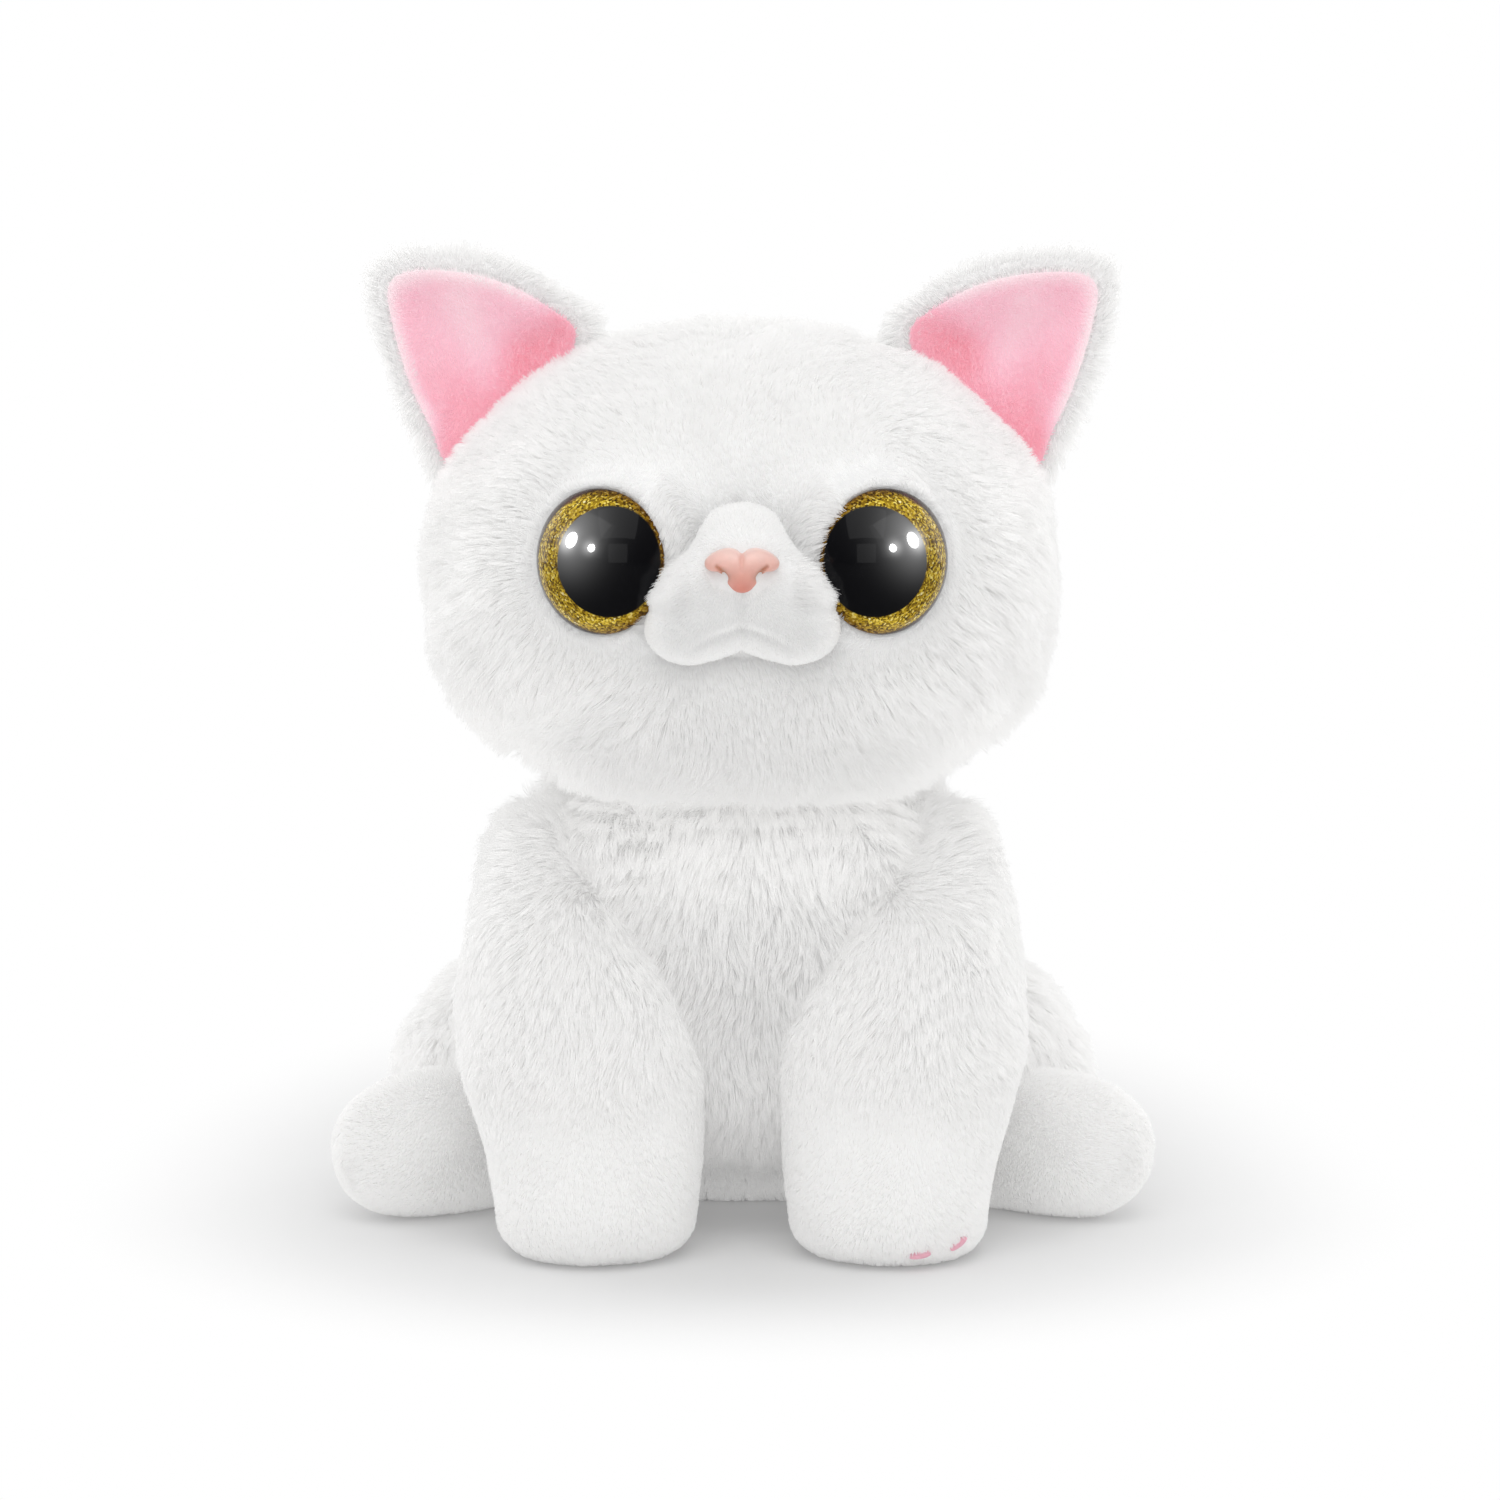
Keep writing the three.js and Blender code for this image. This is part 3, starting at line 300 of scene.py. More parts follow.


def cloth_material(name, lo, hi, scale, bump, sheen=0.3, rough=0.95, detail=4.0):
    m, nt, b = material(name)
    tc = nt.nodes.new("ShaderNodeTexCoord")
    nz = node(nt, "ShaderNodeTexNoise", Scale=scale, Detail=detail, Roughness=0.65)
    nt.links.new(tc.outputs["Object"], nz.inputs["Vector"])
    nt.links.new(darken(nt, ramp(nt, nz.outputs[0], [(0.3, lo), (0.7, hi)]), 1.0), b.inputs["Base Color"])
    rr = nt.nodes.new("ShaderNodeMapRange")
    rr.inputs["To Min"].default_value, rr.inputs["To Max"].default_value = rough - 0.12, min(1.0, rough + 0.05)
    nt.links.new(nz.outputs[0], rr.inputs["Value"])
    nt.links.new(rr.outputs[0], b.inputs["Roughness"])
    # painted glow: the cloth emits its own colour
    nt.links.new(b.inputs["Base Color"].links[0].from_socket, b.inputs["Emission Color"])
    b.inputs["Emission Strength"].default_value = PAINTED_GLOW * 0.6
    b.inputs["Sheen Weight"].default_value = sheen
    b.inputs["Sheen Roughness"].default_value = 0.5
    fine = node(nt, "ShaderNodeTexNoise", Scale=scale * 3.0, Detail=3.0, Roughness=0.7)
    nt.links.new(tc.outputs["Object"], fine.inputs["Vector"])
    bp = nt.nodes.new("ShaderNodeBump")
    bp.inputs["Strength"].default_value, bp.inputs["Distance"].default_value = 0.7, bump
    nt.links.new(fine.outputs[0], bp.inputs["Height"])
    nt.links.new(bp.outputs[0], b.inputs["Normal"])
    return m


def darken(nt, col, amount):
    """Multiplies a colour by one less the piece's own 'shade' value: painted shade that greys the pile and skin where
    the shade rules set it.
    """
    at = nt.nodes.new("ShaderNodeAttribute")
    at.attribute_name = "shade"
    keep_ = nt.nodes.new("ShaderNodeMapRange")
    keep_.inputs["To Min"].default_value, keep_.inputs["To Max"].default_value = 1.0, 1.0 - amount
    nt.links.new(at.outputs["Fac"], keep_.inputs["Value"])
    mul = nt.nodes.new("ShaderNodeVectorMath")
    mul.operation = "SCALE"
    nt.links.new(col, mul.inputs[0])
    nt.links.new(keep_.outputs[0], mul.inputs["Scale"])
    return mul.outputs[0]


def hair_material(name, root, tip, translucent=0.45, rough=0.6):
    m = bpy.data.materials.new(name)
    m.use_nodes = True
    nt = m.node_tree
    nt.nodes.clear()
    out = nt.nodes.new("ShaderNodeOutputMaterial")
    info = nt.nodes.new("ShaderNodeHairInfo")
    col = darken(nt, ramp(nt, info.outputs["Intercept"], [(0.0, root), (0.7, tip)]), 1.0)
    d = nt.nodes.new("ShaderNodeBsdfDiffuse")
    t = nt.nodes.new("ShaderNodeBsdfTranslucent")
    g = nt.nodes.new("ShaderNodeBsdfGlossy")
    g.inputs["Roughness"].default_value = rough
    g.inputs["Color"].default_value = (0.9, 0.9, 0.9, 1)
    mix1, mix2 = nt.nodes.new("ShaderNodeMixShader"), nt.nodes.new("ShaderNodeMixShader")
    mix1.inputs[0].default_value, mix2.inputs[0].default_value = translucent, 0.05
    nt.links.new(col, d.inputs["Color"])
    nt.links.new(col, t.inputs["Color"])
    nt.links.new(d.outputs[0], mix1.inputs[1])
    nt.links.new(t.outputs[0], mix1.inputs[2])
    nt.links.new(mix1.outputs[0], mix2.inputs[1])
    nt.links.new(g.outputs[0], mix2.inputs[2])
    # painted glow: the fibres emit their own colour, at the base strength plus each strand's own glow value
    em = nt.nodes.new("ShaderNodeEmission")
    ga = nt.nodes.new("ShaderNodeAttribute")
    ga.attribute_name = "glow"
    gm = nt.nodes.new("ShaderNodeMath")
    gm.operation = "ADD"
    gm.inputs[1].default_value = PAINTED_GLOW
    nt.links.new(ga.outputs["Fac"], gm.inputs[0])
    nt.links.new(gm.outputs[0], em.inputs["Strength"])
    nt.links.new(col, em.inputs["Color"])
    add = nt.nodes.new("ShaderNodeAddShader")
    nt.links.new(mix2.outputs[0], add.inputs[0])
    nt.links.new(em.outputs[0], add.inputs[1])
    nt.links.new(add.outputs[0], out.inputs[0])
    return m


m_plush = cloth_material("plush_backing", (0.87, 0.868, 0.866), (0.93, 0.928, 0.926), 420, 0.0006)
m_velour = cloth_material("short_pile", (0.88, 0.878, 0.876), (0.94, 0.938, 0.936), 900, 0.0003)
m_pinkbase = cloth_material("pink_pile", (0.92, 0.52, 0.62), (0.97, 0.62, 0.70), 700, 0.0003)
h_white = hair_material("white_fibre", (0.90, 0.898, 0.895), (0.97, 0.968, 0.965))
h_short = hair_material("short_fibre", (0.90, 0.898, 0.895), (0.96, 0.958, 0.955))


# ------------------------------------------------------------------ skins
def finish_piece(name, V, F, body, mat, slot, *cad):
    ob = mesh_object(name, V * MM, F)
    ob.data.materials.append(mat)
    if cad:
        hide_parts(*cad)
    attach(ob, body)
    return ob


def relief(V, F, comb, seed, amp, wid=2.6, length=7.0, mask=None):
    """Raises low locks along the combed direction on a skin, as matted pile does."""
    ob = mesh_object("tmp", V * MM, F)
    P, N, T = arrays(ob)
    bpy.data.objects.remove(ob)
    c = comb(P, N)
    c -= N * (c * N).sum(1)[:, None]
    c /= np.linalg.norm(c, axis=1)[:, None] + 1e-9
    s = np.cross(N, c)
    warp = wave(P, 9.0, seed, 3) * 3.0
    Q = P + warp
    # anisotropic value noise: short across the comb, long along it
    u, v = (Q * s).sum(1) / wid, (Q * c).sum(1) / length
    h = 0.55 * wave(np.c_[u, v, Q[:, 2] * 0.02] * 1.0, 1.0, seed + 1) + 0.45 * wave(np.c_[u * 1.9, v * 1.4, Q[:, 1] * 0.05], 1.0, seed + 2)
    h = amp * np.abs(h)
    if mask is not None:
        h *= mask(P, N)
    return P + N * h[:, None]


def shell(outer, hole_outer, wall=1.8, steps=3):
    """Closed skin: outer rings from the top point down to a hole, then the inner wall back up."""
    first, rings = outer
    n = rings.shape[1]
    mid = rings.mean(1)
    inner = []
    for r, c in zip(rings, mid):
        d = r - c
        L = np.linalg.norm(d[:, :2], axis=1)[:, None]
        q = r.copy()
        q[:, :2] = c[:2] + d[:, :2] * (1 - wall / np.maximum(L, wall * 1.6))
        inner.append(q)
    return first, rings, np.array(inner), hole_outer


def ring_rows(table, p, n, rows, grow=0.0):
    T = hermite([list(r[:4]) for r in table], rows)
    out = []
    for z, w, yf, yb in T:
        X, Y = superellipse(0, (yf + yb) / 2, max(w, 0.2) + grow, max((yb - yf) / 2, 0.2) + grow, p, n)
        out.append(np.c_[X, Y, np.full(n, z)])
    return np.array(out)


def circle_ring(cx, cy, z, r, n):
    a = 2 * np.pi * np.arange(n) / n
    return np.c_[cx + r * np.cos(a), cy + r * np.sin(a), np.full(n, z)]


def slab_ring(cx, cy, z, w, d, r, n):
    """Rounded rectangle, sampled by polar angle."""
    a = 2 * np.pi * np.arange(n) / n
    u = np.c_[np.cos(a), np.sin(a)]
    out = np.empty((n, 2))
    for i, (x, y) in enumerate(u):
        lo, hi = 0.0, w + d
        for _ in range(34):
            t = (lo + hi) / 2
            qx, qy = abs(t * x) - (w / 2 - r), abs(t * y) - (d / 2 - r)
            f = math.hypot(max(qx, 0), max(qy, 0)) + min(max(qx, qy), 0) - r
            if f < 0:
                lo = t
            else:
                hi = t
        out[i] = (cx + lo * x, cy + lo * y)
    return np.c_[out, np.full(n, z)]


HN, TN = 240, 224
# the head backing lies a little inside the pile at the lower corners
HEAD_SKIN = [(r[0], r[1] - (0.8, 1.4, 1.5, 1.0, 0.4)[i] if i < 5 else r[1], *r[2:]) for i, r in enumerate(HEAD)]
# head: outer rings bottom to top, then the wall inside, with the neck hole between them
h_out = ring_rows(HEAD_SKIN, 2.25, HN, 176)
h_in = ring_rows([(r[0] + (1.6 if i < 2 else 0.6 if i < 5 else -0.6 if i > 10 else 0), max(r[1] - 1.8, 4.4), r[2] + 1.8, r[3] - 1.8) for i, r in enumerate(HEAD_SKIN)], 2.25, HN, 60)
hole_lo, hole_hi = circle_ring(0, -3, 88.4, 15.6, HN), circle_ring(0, -3, 90.0, 15.6, HN)
rings = np.concatenate([h_in[::-1], hole_hi[None], hole_lo[None], h_out])
V_head, F_head = ring_mesh(h_in[-1].mean(0) + [0, 0, 0.2], rings, h_out[-1].mean(0) + [0, 0, 0.3])
outer_head = np.r_[np.zeros(1 + len(h_in) * HN + 2 * HN, bool), np.ones(len(h_out) * HN + 1, bool)]


def seat_eyes(P):
    """Presses the skin in behind each eye and gathers a low rim of cloth round it."""
    P = P.copy()
    for side in ("left", "right"):
        c, n, up, inward = (np.array(v) for v in eye_frames[side])
        a, b, h = eye_coords(P, side)
        r = np.hypot(a, b)
        near = (h > -15) & (r < 30)
        rise = 0.9 * np.clip((r - 13.2) / 1.1, 0, 1)
        hi = 0.8 + rise + 8.5 * (np.clip(r - 14.4, 0, None) / 6.5) ** 1.2
        lo = np.where(r < 10.5, -99, 0.6 + rise - 1.15 * np.clip(r - 14.3, 0, None) ** 1.02)
        t = np.where(near, np.minimum(np.maximum(h, lo), hi), h)
        P += (t - h)[:, None] * n
    return P


V_head[outer_head] = seat_eyes(V_head[outer_head])


def head_comb(P, N):
    """Pile runs back over the crown, out and down over the cheeks."""
    c = np.zeros_like(P)
    x, z = P[:, 0], P[:, 2]
    top = np.clip((z - 140) / 25, 0, 1)
    c[:, 0] = np.sign(x) * (0.75 + 0.5 * np.clip(np.abs(x) / 40, 0, 1)) * np.clip(np.abs(x) / 12, 0, 1)
    c[:, 1] = 0.25 + 0.5 * top
    c[:, 2] = np.where(z > 140, 0.55 * top - 0.2, -0.55 - 0.4 * np.clip((125 - z) / 30, 0, 1))
    return c + wave(P, 16, 5, 3) * 0.35


def torso_comb(P, N):
    c = np.zeros_like(P)
    side_ = np.clip((np.abs(P[:, 0]) - 25) / 9, 0, 1)
    rear = np.clip((P[:, 1] + 12) / 10, 0, 1)
    top = np.clip((P[:, 2] - 70) / 10, 0, 1)
    lift = top * np.maximum(side_, rear)
    c[:, 2] = -1.0 + 1.9 * lift
    c[:, 0] = (0.25 + 0.7 * lift) * np.sign(P[:, 0]) * np.clip(np.abs(P[:, 0]) / 15, 0, 1)
    c[:, 1] = 0.25 * np.clip(P[:, 1] / 30, -0.2, 1) + 0.6 * top * np.clip(P[:, 1] / 20, -1, 1) - 0.9 * top * (1 - rear)
    return c + wave(P, 14, 8, 3) * 0.3


def leg_comb(P, N):
    c = np.zeros_like(P)
    up = np.clip((P[:, 2] - 60) / 15, 0, 1)
    c[:, 2] = -1.0 + 1.45 * up
    c[:, 0] = 0.55 * up * np.sign(P[:, 0])
    return c + wave(P, 12, 9, 3) * 0.3


def haunch_comb(P, N):
    c = np.zeros_like(P)
    c[:, 0] = 0.35 * np.sign(P[:, 0])
    c[:, 1] = -0.25
    c[:, 2] = -0.85
    return c + wave(P, 14, 10, 3) * 0.35


def foot_comb(P, N):
    c = np.zeros_like(P)
    c[:, 0] = 0.9 * np.sign(P[:, 0])
    c[:, 1] = -0.6
    c[:, 2] = -0.15
    return c + wave(P, 10, 12, 3) * 0.2


def tail_comb(P, N):
    c = np.zeros_like(P)
    c[:, 0] = 1.0
    c[:, 2] = -0.25
    return c + wave(P, 10, 14, 3) * 0.3


def head_pile(P, N):
    """0 by the eyes and muzzle, 1 on the cheeks and back: where the locks are deep."""
    d = np.full(len(P), 1e9)
    for side in ("left", "right"):
        a, b, h = eye_coords(P, side)
        d = np.minimum(d, np.where(h > -25, np.hypot(a, b) - 14.0, 99))
    d = np.minimum(d, np.where(P[:, 1] < -20, np.hypot(P[:, 0] / 1.0, (P[:, 2] - 127) / 1.2) - 15, 99))
    return np.clip(d / 14, 0.05, 1)


tmp = relief(V_head, F_head, head_comb, 40, 0.55, mask=head_pile)
V_head[outer_head] = tmp[outer_head]
# behind the muzzle pad the skin stands in front of the mouth switch's button, clear of its travel
front_skin = V_head[outer_head]
bore = np.hypot(front_skin[:, 0], front_skin[:, 2] - 123.0)
clear = (front_skin[:, 1] < -50) * np.clip((6.2 - bore) / 1.6, 0, 1)
front_skin[:, 1] += clear * (np.minimum(front_skin[:, 1], -66.4) - front_skin[:, 1])
V_head[outer_head] = front_skin
head = finish_piece("head_plush", V_head, F_head, "head", m_plush, "long_pile", "head_skin")

t_out = ring_rows(TORSO, 2.2, TN, 120)
t_in = ring_rows([(max(r[0], 0) + (1.8 if i < 2 else 0.4 if i < 6 else -0.5 if i > 8 else 0), max(r[1] - 1.8, 14.4), r[2] + 1.8, r[3] - 1.8) for i, r in enumerate(TORSO)], 2.2, TN, 50)
port_lo, port_hi = slab_ring(0, 26, 0.0, 47.4, 39.4, 4.7, TN), slab_ring(0, 26, 1.8, 47.4, 39.4, 4.7, TN)
neck_lo, neck_hi = circle_ring(0, -3, 82.4, 13.6, TN), circle_ring(0, -3, 84.2, 13.6, TN)
# the skin closes on itself: port edge, outside, neck edge, inside, back to the port edge
loop = np.concatenate([port_lo[None], t_out, neck_hi[None], neck_lo[None], t_in[::-1], port_hi[None]])
k = len(loop)
V_torso = loop.reshape(-1, 3)
i0 = np.arange(k)[:, None] * TN + np.arange(TN)[None]
i1 = np.arange(k)[:, None] * TN + (np.arange(TN)[None] + 1) % TN
F_torso = [list(q) for q in np.stack([i0, i1, np.roll(i1, -1, 0), np.roll(i0, -1, 0)], -1).reshape(-1, 4)]
outer_torso = np.zeros(len(V_torso), bool)
outer_torso[TN: TN * (1 + len(t_out))] = True
low = V_torso[:, 2] < 3
tmp = relief(V_torso, F_torso, torso_comb, 50, 0.7, mask=lambda P, N: np.clip((P[:, 2] - 1) / 6, 0, 1))
V_torso[outer_torso] = tmp[outer_torso]
torso = finish_piece("torso_plush", V_torso, F_torso, "torso", m_plush, "long_pile", "torso_skin")

limbs = {}
for side, sx in (("left", 1), ("right", -1)):
    V, F = pile_mesh(HAUNCH, 2.05, 128, 90, sx=sx)
    V = relief(V, F, haunch_comb, 60, 0.6, mask=lambda P, N: np.clip((P[:, 2] - 1) / 6, 0, 1))
    limbs["haunch_" + side] = finish_piece("haunch_plush_" + side, V, F, "torso", m_plush, "long_pile", "haunch_" + side)
    V, F = pile_mesh(FORELEG, 2.1, 128, 130, sx=sx)
    ins = np.clip((np.interp(V[:, 2], [r[0] for r in FORELEG], [r[4] for r in FORELEG]) - np.abs(V[:, 0])) / 16, 0, 1)
    V[:, 0] -= sx * ins ** 1.5 * np.interp(V[:, 2], [0, 18, 34, 50, 64], [2.2, 2.0, 0.5, 0.6, 0])
    V = relief(V, F, leg_comb, 61, 0.45, mask=lambda P, N: np.clip((P[:, 2] - 25) / 10, 0.08, 1) * np.clip(P[:, 2] / 3, 0, 1))
    limbs["foreleg_" + side] = finish_piece("foreleg_plush_" + side, V, F, "foreleg_" + side, m_velour, "long_pile", "foreleg_" + side)
    V, F = limb_mesh(FOOT, 112, 96, sx=sx)
    V = relief(V, F, foot_comb, 62, 0.15)
    limbs["foot_" + side] = finish_piece("hind_foot_plush_" + side, V, F, "hind_foot_" + side, m_velour, "short_pile", "hind_foot_" + side)
V, F = limb_mesh(TAIL, 72, 110)
V = relief(V, F, tail_comb, 63, 0.5)
tail = finish_piece("tail_plush", V, F, "tail", m_plush, "long_pile", "tail")

# ears: cupped fur sheet with a short pink lining sewn in front
ear_out = hermite([list(e) for e in EAR], 168, closed=True)


def ear_sheet(scale, cup, y0, t, grow, rows=26):
    def ring(s, y):
        return np.c_[EARC[0] + (ear_out[:, 0] - EARC[0]) * s, np.full(len(ear_out), y), EARC[1] + (ear_out[:, 1] - EARC[1]) * s]
    ks = np.sin(np.linspace(0.06, 1, rows) * np.pi / 2)
    bulge = lambda k: np.sqrt(np.clip(1 - k ** 6, 0, 1))
    rings = [ring(scale * k, y0 - t / 2 * bulge(k) + cup * (1 - k * k)) for k in ks]
    rings += [ring(scale * k, y0 + t / 2 * bulge(k) + cup * (1 - k * k)) for k in ks[::-1][1:]]
    first = np.array([EARC[0], y0 - t / 2 + cup, EARC[1]])
    last = np.array([EARC[0], y0 + t / 2 + cup, EARC[1]])
    return ring_mesh(first, np.array(rings), last)


ears = {}
for side, sx in (("left", 1), ("right", -1)):
    V, F = ear_sheet(1.0, 4.5, EARY, 4.4, 0)
    V[:, 0] *= sx
    if sx < 0:
        F = [f[::-1] for f in F]
    V += wave(V, 15, 70, 3) * 0.35
    ears["back_" + side] = finish_piece("ear_plush_" + side, V, F, "ear_" + side, m_plush, "long_pile", "ear_back_" + side)
    V, F = ear_sheet(0.86, 4.5, EARY - 2.3, 1.6, 0)
    V[:, 0] *= sx
    if sx < 0:
        F = [f[::-1] for f in F]
    V += wave(V, 11, 71, 3) * 0.3
    ears["lining_" + side] = finish_piece("ear_lining_plush_" + side, V, F, "ear_" + side, m_pinkbase, "pink_lining", "ear_lining_" + side)

# muzzle: two full lobes over a shallow lower lip
mo = hermite([(x, z) for x, z in MUZZLE] + [(-x, z) for x, z in MUZZLE[-2:0:-1]], 180, closed=True)


def mouth_curve(x):
    """Height of the mouth line: a soft arch that runs out at the sides."""
    a = np.abs(x)
    return 122.8 - 2.7 * np.clip(a / 7.5, 0, 2) ** 1.5


def muzzle_front(x, z, k):
    y = -60.0 - 13.6 * (1 - np.clip(k, 0, 1) ** 3.0) ** 0.56
    d = z - mouth_curve(x)
    fade = np.clip(1.35 - np.abs(x) / 8.5, 0, 1) * np.clip((1 - k) * 9, 0, 1)
    y += 1.15 * np.exp(-(d / 0.95) ** 2) * fade
    y += 0.9 / (1 + np.exp(d / 0.7)) * np.clip(1.5 - np.abs(x) / 9.5, 0, 1) * np.clip((1 - k) * 5, 0, 1)
    y += 0.7 * np.exp(-(x / 1.3) ** 2) * np.clip((131 - z) / 4, 0, 1) * np.clip((z - 121) / 3, 0, 1)
    return y


mc = np.array([0.0, 128.5])
rows = []
for k in np.r_[np.linspace(0.02, 1, 64)]:
    q = mc + (mo - mc) * k
    rows.append(np.c_[q[:, 0], muzzle_front(q[:, 0], q[:, 1], np.full(len(q), k)), q[:, 1]])
for k, y in ((1.0, -57.5), (0.99, -55), (0.97, -51), (0.9, -48.5), (0.5, -48)):
    q = mc + (mo - mc) * k
    rows.append(np.c_[q[:, 0], np.full(len(q), float(y)), q[:, 1]])
V, F = ring_mesh(np.array([0, rows[0][:, 1].mean(), mc[1]]), np.array(rows), np.array([0, -48.0, mc[1]]))
muzzle = finish_piece("muzzle_plush", V, F, "head", m_velour, "short_pile", "muzzle")

# ------------------------------------------------------------------ nose
NOSE_OUT = [
    (0, 3.05), (1.1, 3.7), (2.4, 3.95), (3.7, 3.7), (4.9, 3.2), (6.1, 2.4), (6.8, 1.4), (6.65, 0.4), (5.9, -0.2), (4.7, -0.35), (3.9, -0.8), (3.3, -1.8), (2.85, -3.0), (1.9, -4.0), (0, -4.5)]
no = hermite([(x, z) for x, z in NOSE_OUT] + [(-x, z) for x, z in NOSE_OUT[-2:0:-1]], 150, closed=True)
NC = np.array([0.0, NOSE["z"] - 0.2])
nc0 = np.array([0.0, 0.6])


def nostril(x, z):
    """Nearness to the curled slit on either side: 1 on it."""
    ax = np.abs(x)
    a0, b0 = np.array([4.5, 0.75]), np.array([3.1, -1.25])
    t = np.clip(((ax - a0[0]) * (b0[0] - a0[0]) + (z - a0[1]) * (b0[1] - a0[1])) / ((b0 - a0) ** 2).sum(), 0, 1)
    bow = 0.35 * np.sin(np.pi * t)
    d = np.hypot(ax - (a0[0] + (b0[0] - a0[0]) * t) + bow * 0.8, z - (a0[1] + (b0[1] - a0[1]) * t) - bow * 0.5)
    return np.exp(-(d / (0.42 + 0.30 * t)) ** 2) * (0.45 + 0.55 * t)


rows = []
for k in np.linspace(0.02, 1, 72):
    q = nc0 + (no - nc0) * k
    y = NOSE["y"] - 0.3 - 3.3 * (1 - k ** 2.6) ** 0.55
    y = y + 1.5 * nostril(q[:, 0], q[:, 1]) * np.clip((1 - k) * 8, 0.35, 1)
    y = y + 0.5 * np.exp(-(q[:, 0] / 0.42) ** 2) * np.clip((q[:, 1] + 0.5) / 2.5, 0, 1)  # the crease from the top
    y = y + 0.35 * np.exp(-((np.abs(q[:, 0]) - 2.3) / 0.7) ** 2) * np.clip((-q[:, 1] + 1.5) / 2, 0, 1)
    rows.append(np.c_[q[:, 0], np.broadcast_to(y, len(q)), q[:, 1] + NC[1]])
for k, dy in ((1.0, 0.9), (0.97, 2.2), (0.6, 2.6)):
    q = nc0 + (no - nc0) * k
    rows.append(np.c_[q[:, 0], np.full(len(q), NOSE["y"] - 0.3 + dy), q[:, 1] + NC[1]])
V, F = ring_mesh(np.array([0, rows[0][:, 1].mean(), nc0[1] + NC[1]]), np.array(rows), np.array([0, NOSE["y"] + 2.4, nc0[1] + NC[1]]))
m_nose, nt, b = material("nose_plastic")
tc = nt.nodes.new("ShaderNodeTexCoord")
nz = node(nt, "ShaderNodeTexNoise", Scale=900, Detail=3.0)
nt.links.new(tc.outputs["Object"], nz.inputs["Vector"])
# painted shade and light on the nose: the first channel darkens the nostril slits, the second lights the top and shades
# the crease and the lower middle
na = nt.nodes.new("ShaderNodeAttribute")
na.attribute_name = "nose_painted_shade"
nsp = nt.nodes.new("ShaderNodeSeparateXYZ")
nt.links.new(na.outputs["Vector"], nsp.inputs[0])
nose_shaded_colour = ramp(nt, nsp.outputs[1], [(0.0, (0.74, 0.27, 0.21)), (0.35, (0.80, 0.40, 0.33)), (0.62, (0.88, 0.52, 0.45)), (1.0, (0.96, 0.70, 0.64))])
speck = nt.nodes.new("ShaderNodeMix")
speck.data_type, speck.blend_type = "RGBA", "MULTIPLY"
speck.inputs["Factor"].default_value = 1.0
nt.links.new(nose_shaded_colour, speck.inputs["A"])
nt.links.new(ramp(nt, nz.outputs[0], [(0.3, (0.95, 0.95, 0.95)), (0.7, (1.0, 1.0, 1.0))]), speck.inputs["B"])
# painted shade: the nostril slits darken to a deep orange-brown
slit = nt.nodes.new("ShaderNodeMix")
slit.data_type = "RGBA"
nt.links.new(nsp.outputs[0], slit.inputs["Factor"])
nt.links.new(speck.outputs["Result"], slit.inputs["A"])
slit.inputs["B"].default_value = (0.46, 0.15, 0.05, 1)
nt.links.new(slit.outputs["Result"], b.inputs["Base Color"])
b.inputs["Roughness"].default_value = 0.32
b.inputs["Subsurface Weight"].default_value = 0.12
b.inputs["Subsurface Radius"].default_value = (0.002, 0.0008, 0.0006)
b.inputs["Coat Weight"].default_value = 0.3
bp = nt.nodes.new("ShaderNodeBump")
bp.inputs["Strength"].default_value, bp.inputs["Distance"].default_value = 0.25, 0.0001
nt.links.new(nz.outputs[0], bp.inputs["Height"])
nt.links.new(bp.outputs[0], b.inputs["Normal"])
nose = finish_piece("nose_moulded", V, F, "head", m_nose, "nose_plastic", "nose")
qx, qz = V[:, 0], V[:, 2] - NC[1]
# painted light and shade: lighter towards the top, darker low in the middle and in the crease from the top
nose_light_and_shade = 0.5 + 0.11 * qz - 0.10 * np.exp(-(qx / 1.6) ** 2) * np.clip((2.2 - qz) / 3, 0, 1) - 0.25 * np.exp(-(qx / 0.4) ** 2) * np.clip((qz - 1.2) / 1.5, 0, 1)
at = nose.data.attributes.new("nose_painted_shade", "FLOAT_VECTOR", "POINT")
at.data.foreach_set("vector", np.c_[np.clip(1.15 * nostril(qx, qz), 0, 1), np.clip(nose_light_and_shade, 0, 1), np.zeros(len(V))].astype(np.float32).ravel())

# ------------------------------------------------------------------ eyes
def add_attribute(ob, name, values):
    at = ob.data.attributes.new(name, "FLOAT_VECTOR", "POINT")
    at.data.foreach_set("vector", np.asarray(values, np.float32).ravel())


def math_node(nt, op, a, b=None, c=None, clamp=False):
    n = nt.nodes.new("ShaderNodeMath")
    n.operation, n.use_clamp = op, clamp
    for i, v in enumerate((a, b, c)):
        if v is None:
            continue
        if hasattr(v, "is_linked"):
            nt.links.new(v, n.inputs[i])
        else:
            n.inputs[i].default_value = v
    return n.outputs[0]


m_eye, nt, b = material("eye_dome")
at = nt.nodes.new("ShaderNodeAttribute")
at.attribute_name = "eye_local"
sp = nt.nodes.new("ShaderNodeSeparateXYZ")
nt.links.new(at.outputs["Vector"], sp.inputs[0])
ex, ey = sp.outputs[0], sp.outputs[1]
px = math_node(nt, "DIVIDE", math_node(nt, "SUBTRACT", ex, 4.2), 9.0)
py = math_node(nt, "DIVIDE", math_node(nt, "SUBTRACT", ey, 0.45), 10.3)
pr = math_node(nt, "SQRT", math_node(nt, "ADD", math_node(nt, "MULTIPLY", px, px), math_node(nt, "MULTIPLY", py, py)))
er = math_node(nt, "SQRT", math_node(nt, "ADD", math_node(nt, "MULTIPLY", ex, ex), math_node(nt, "MULTIPLY", ey, ey)))
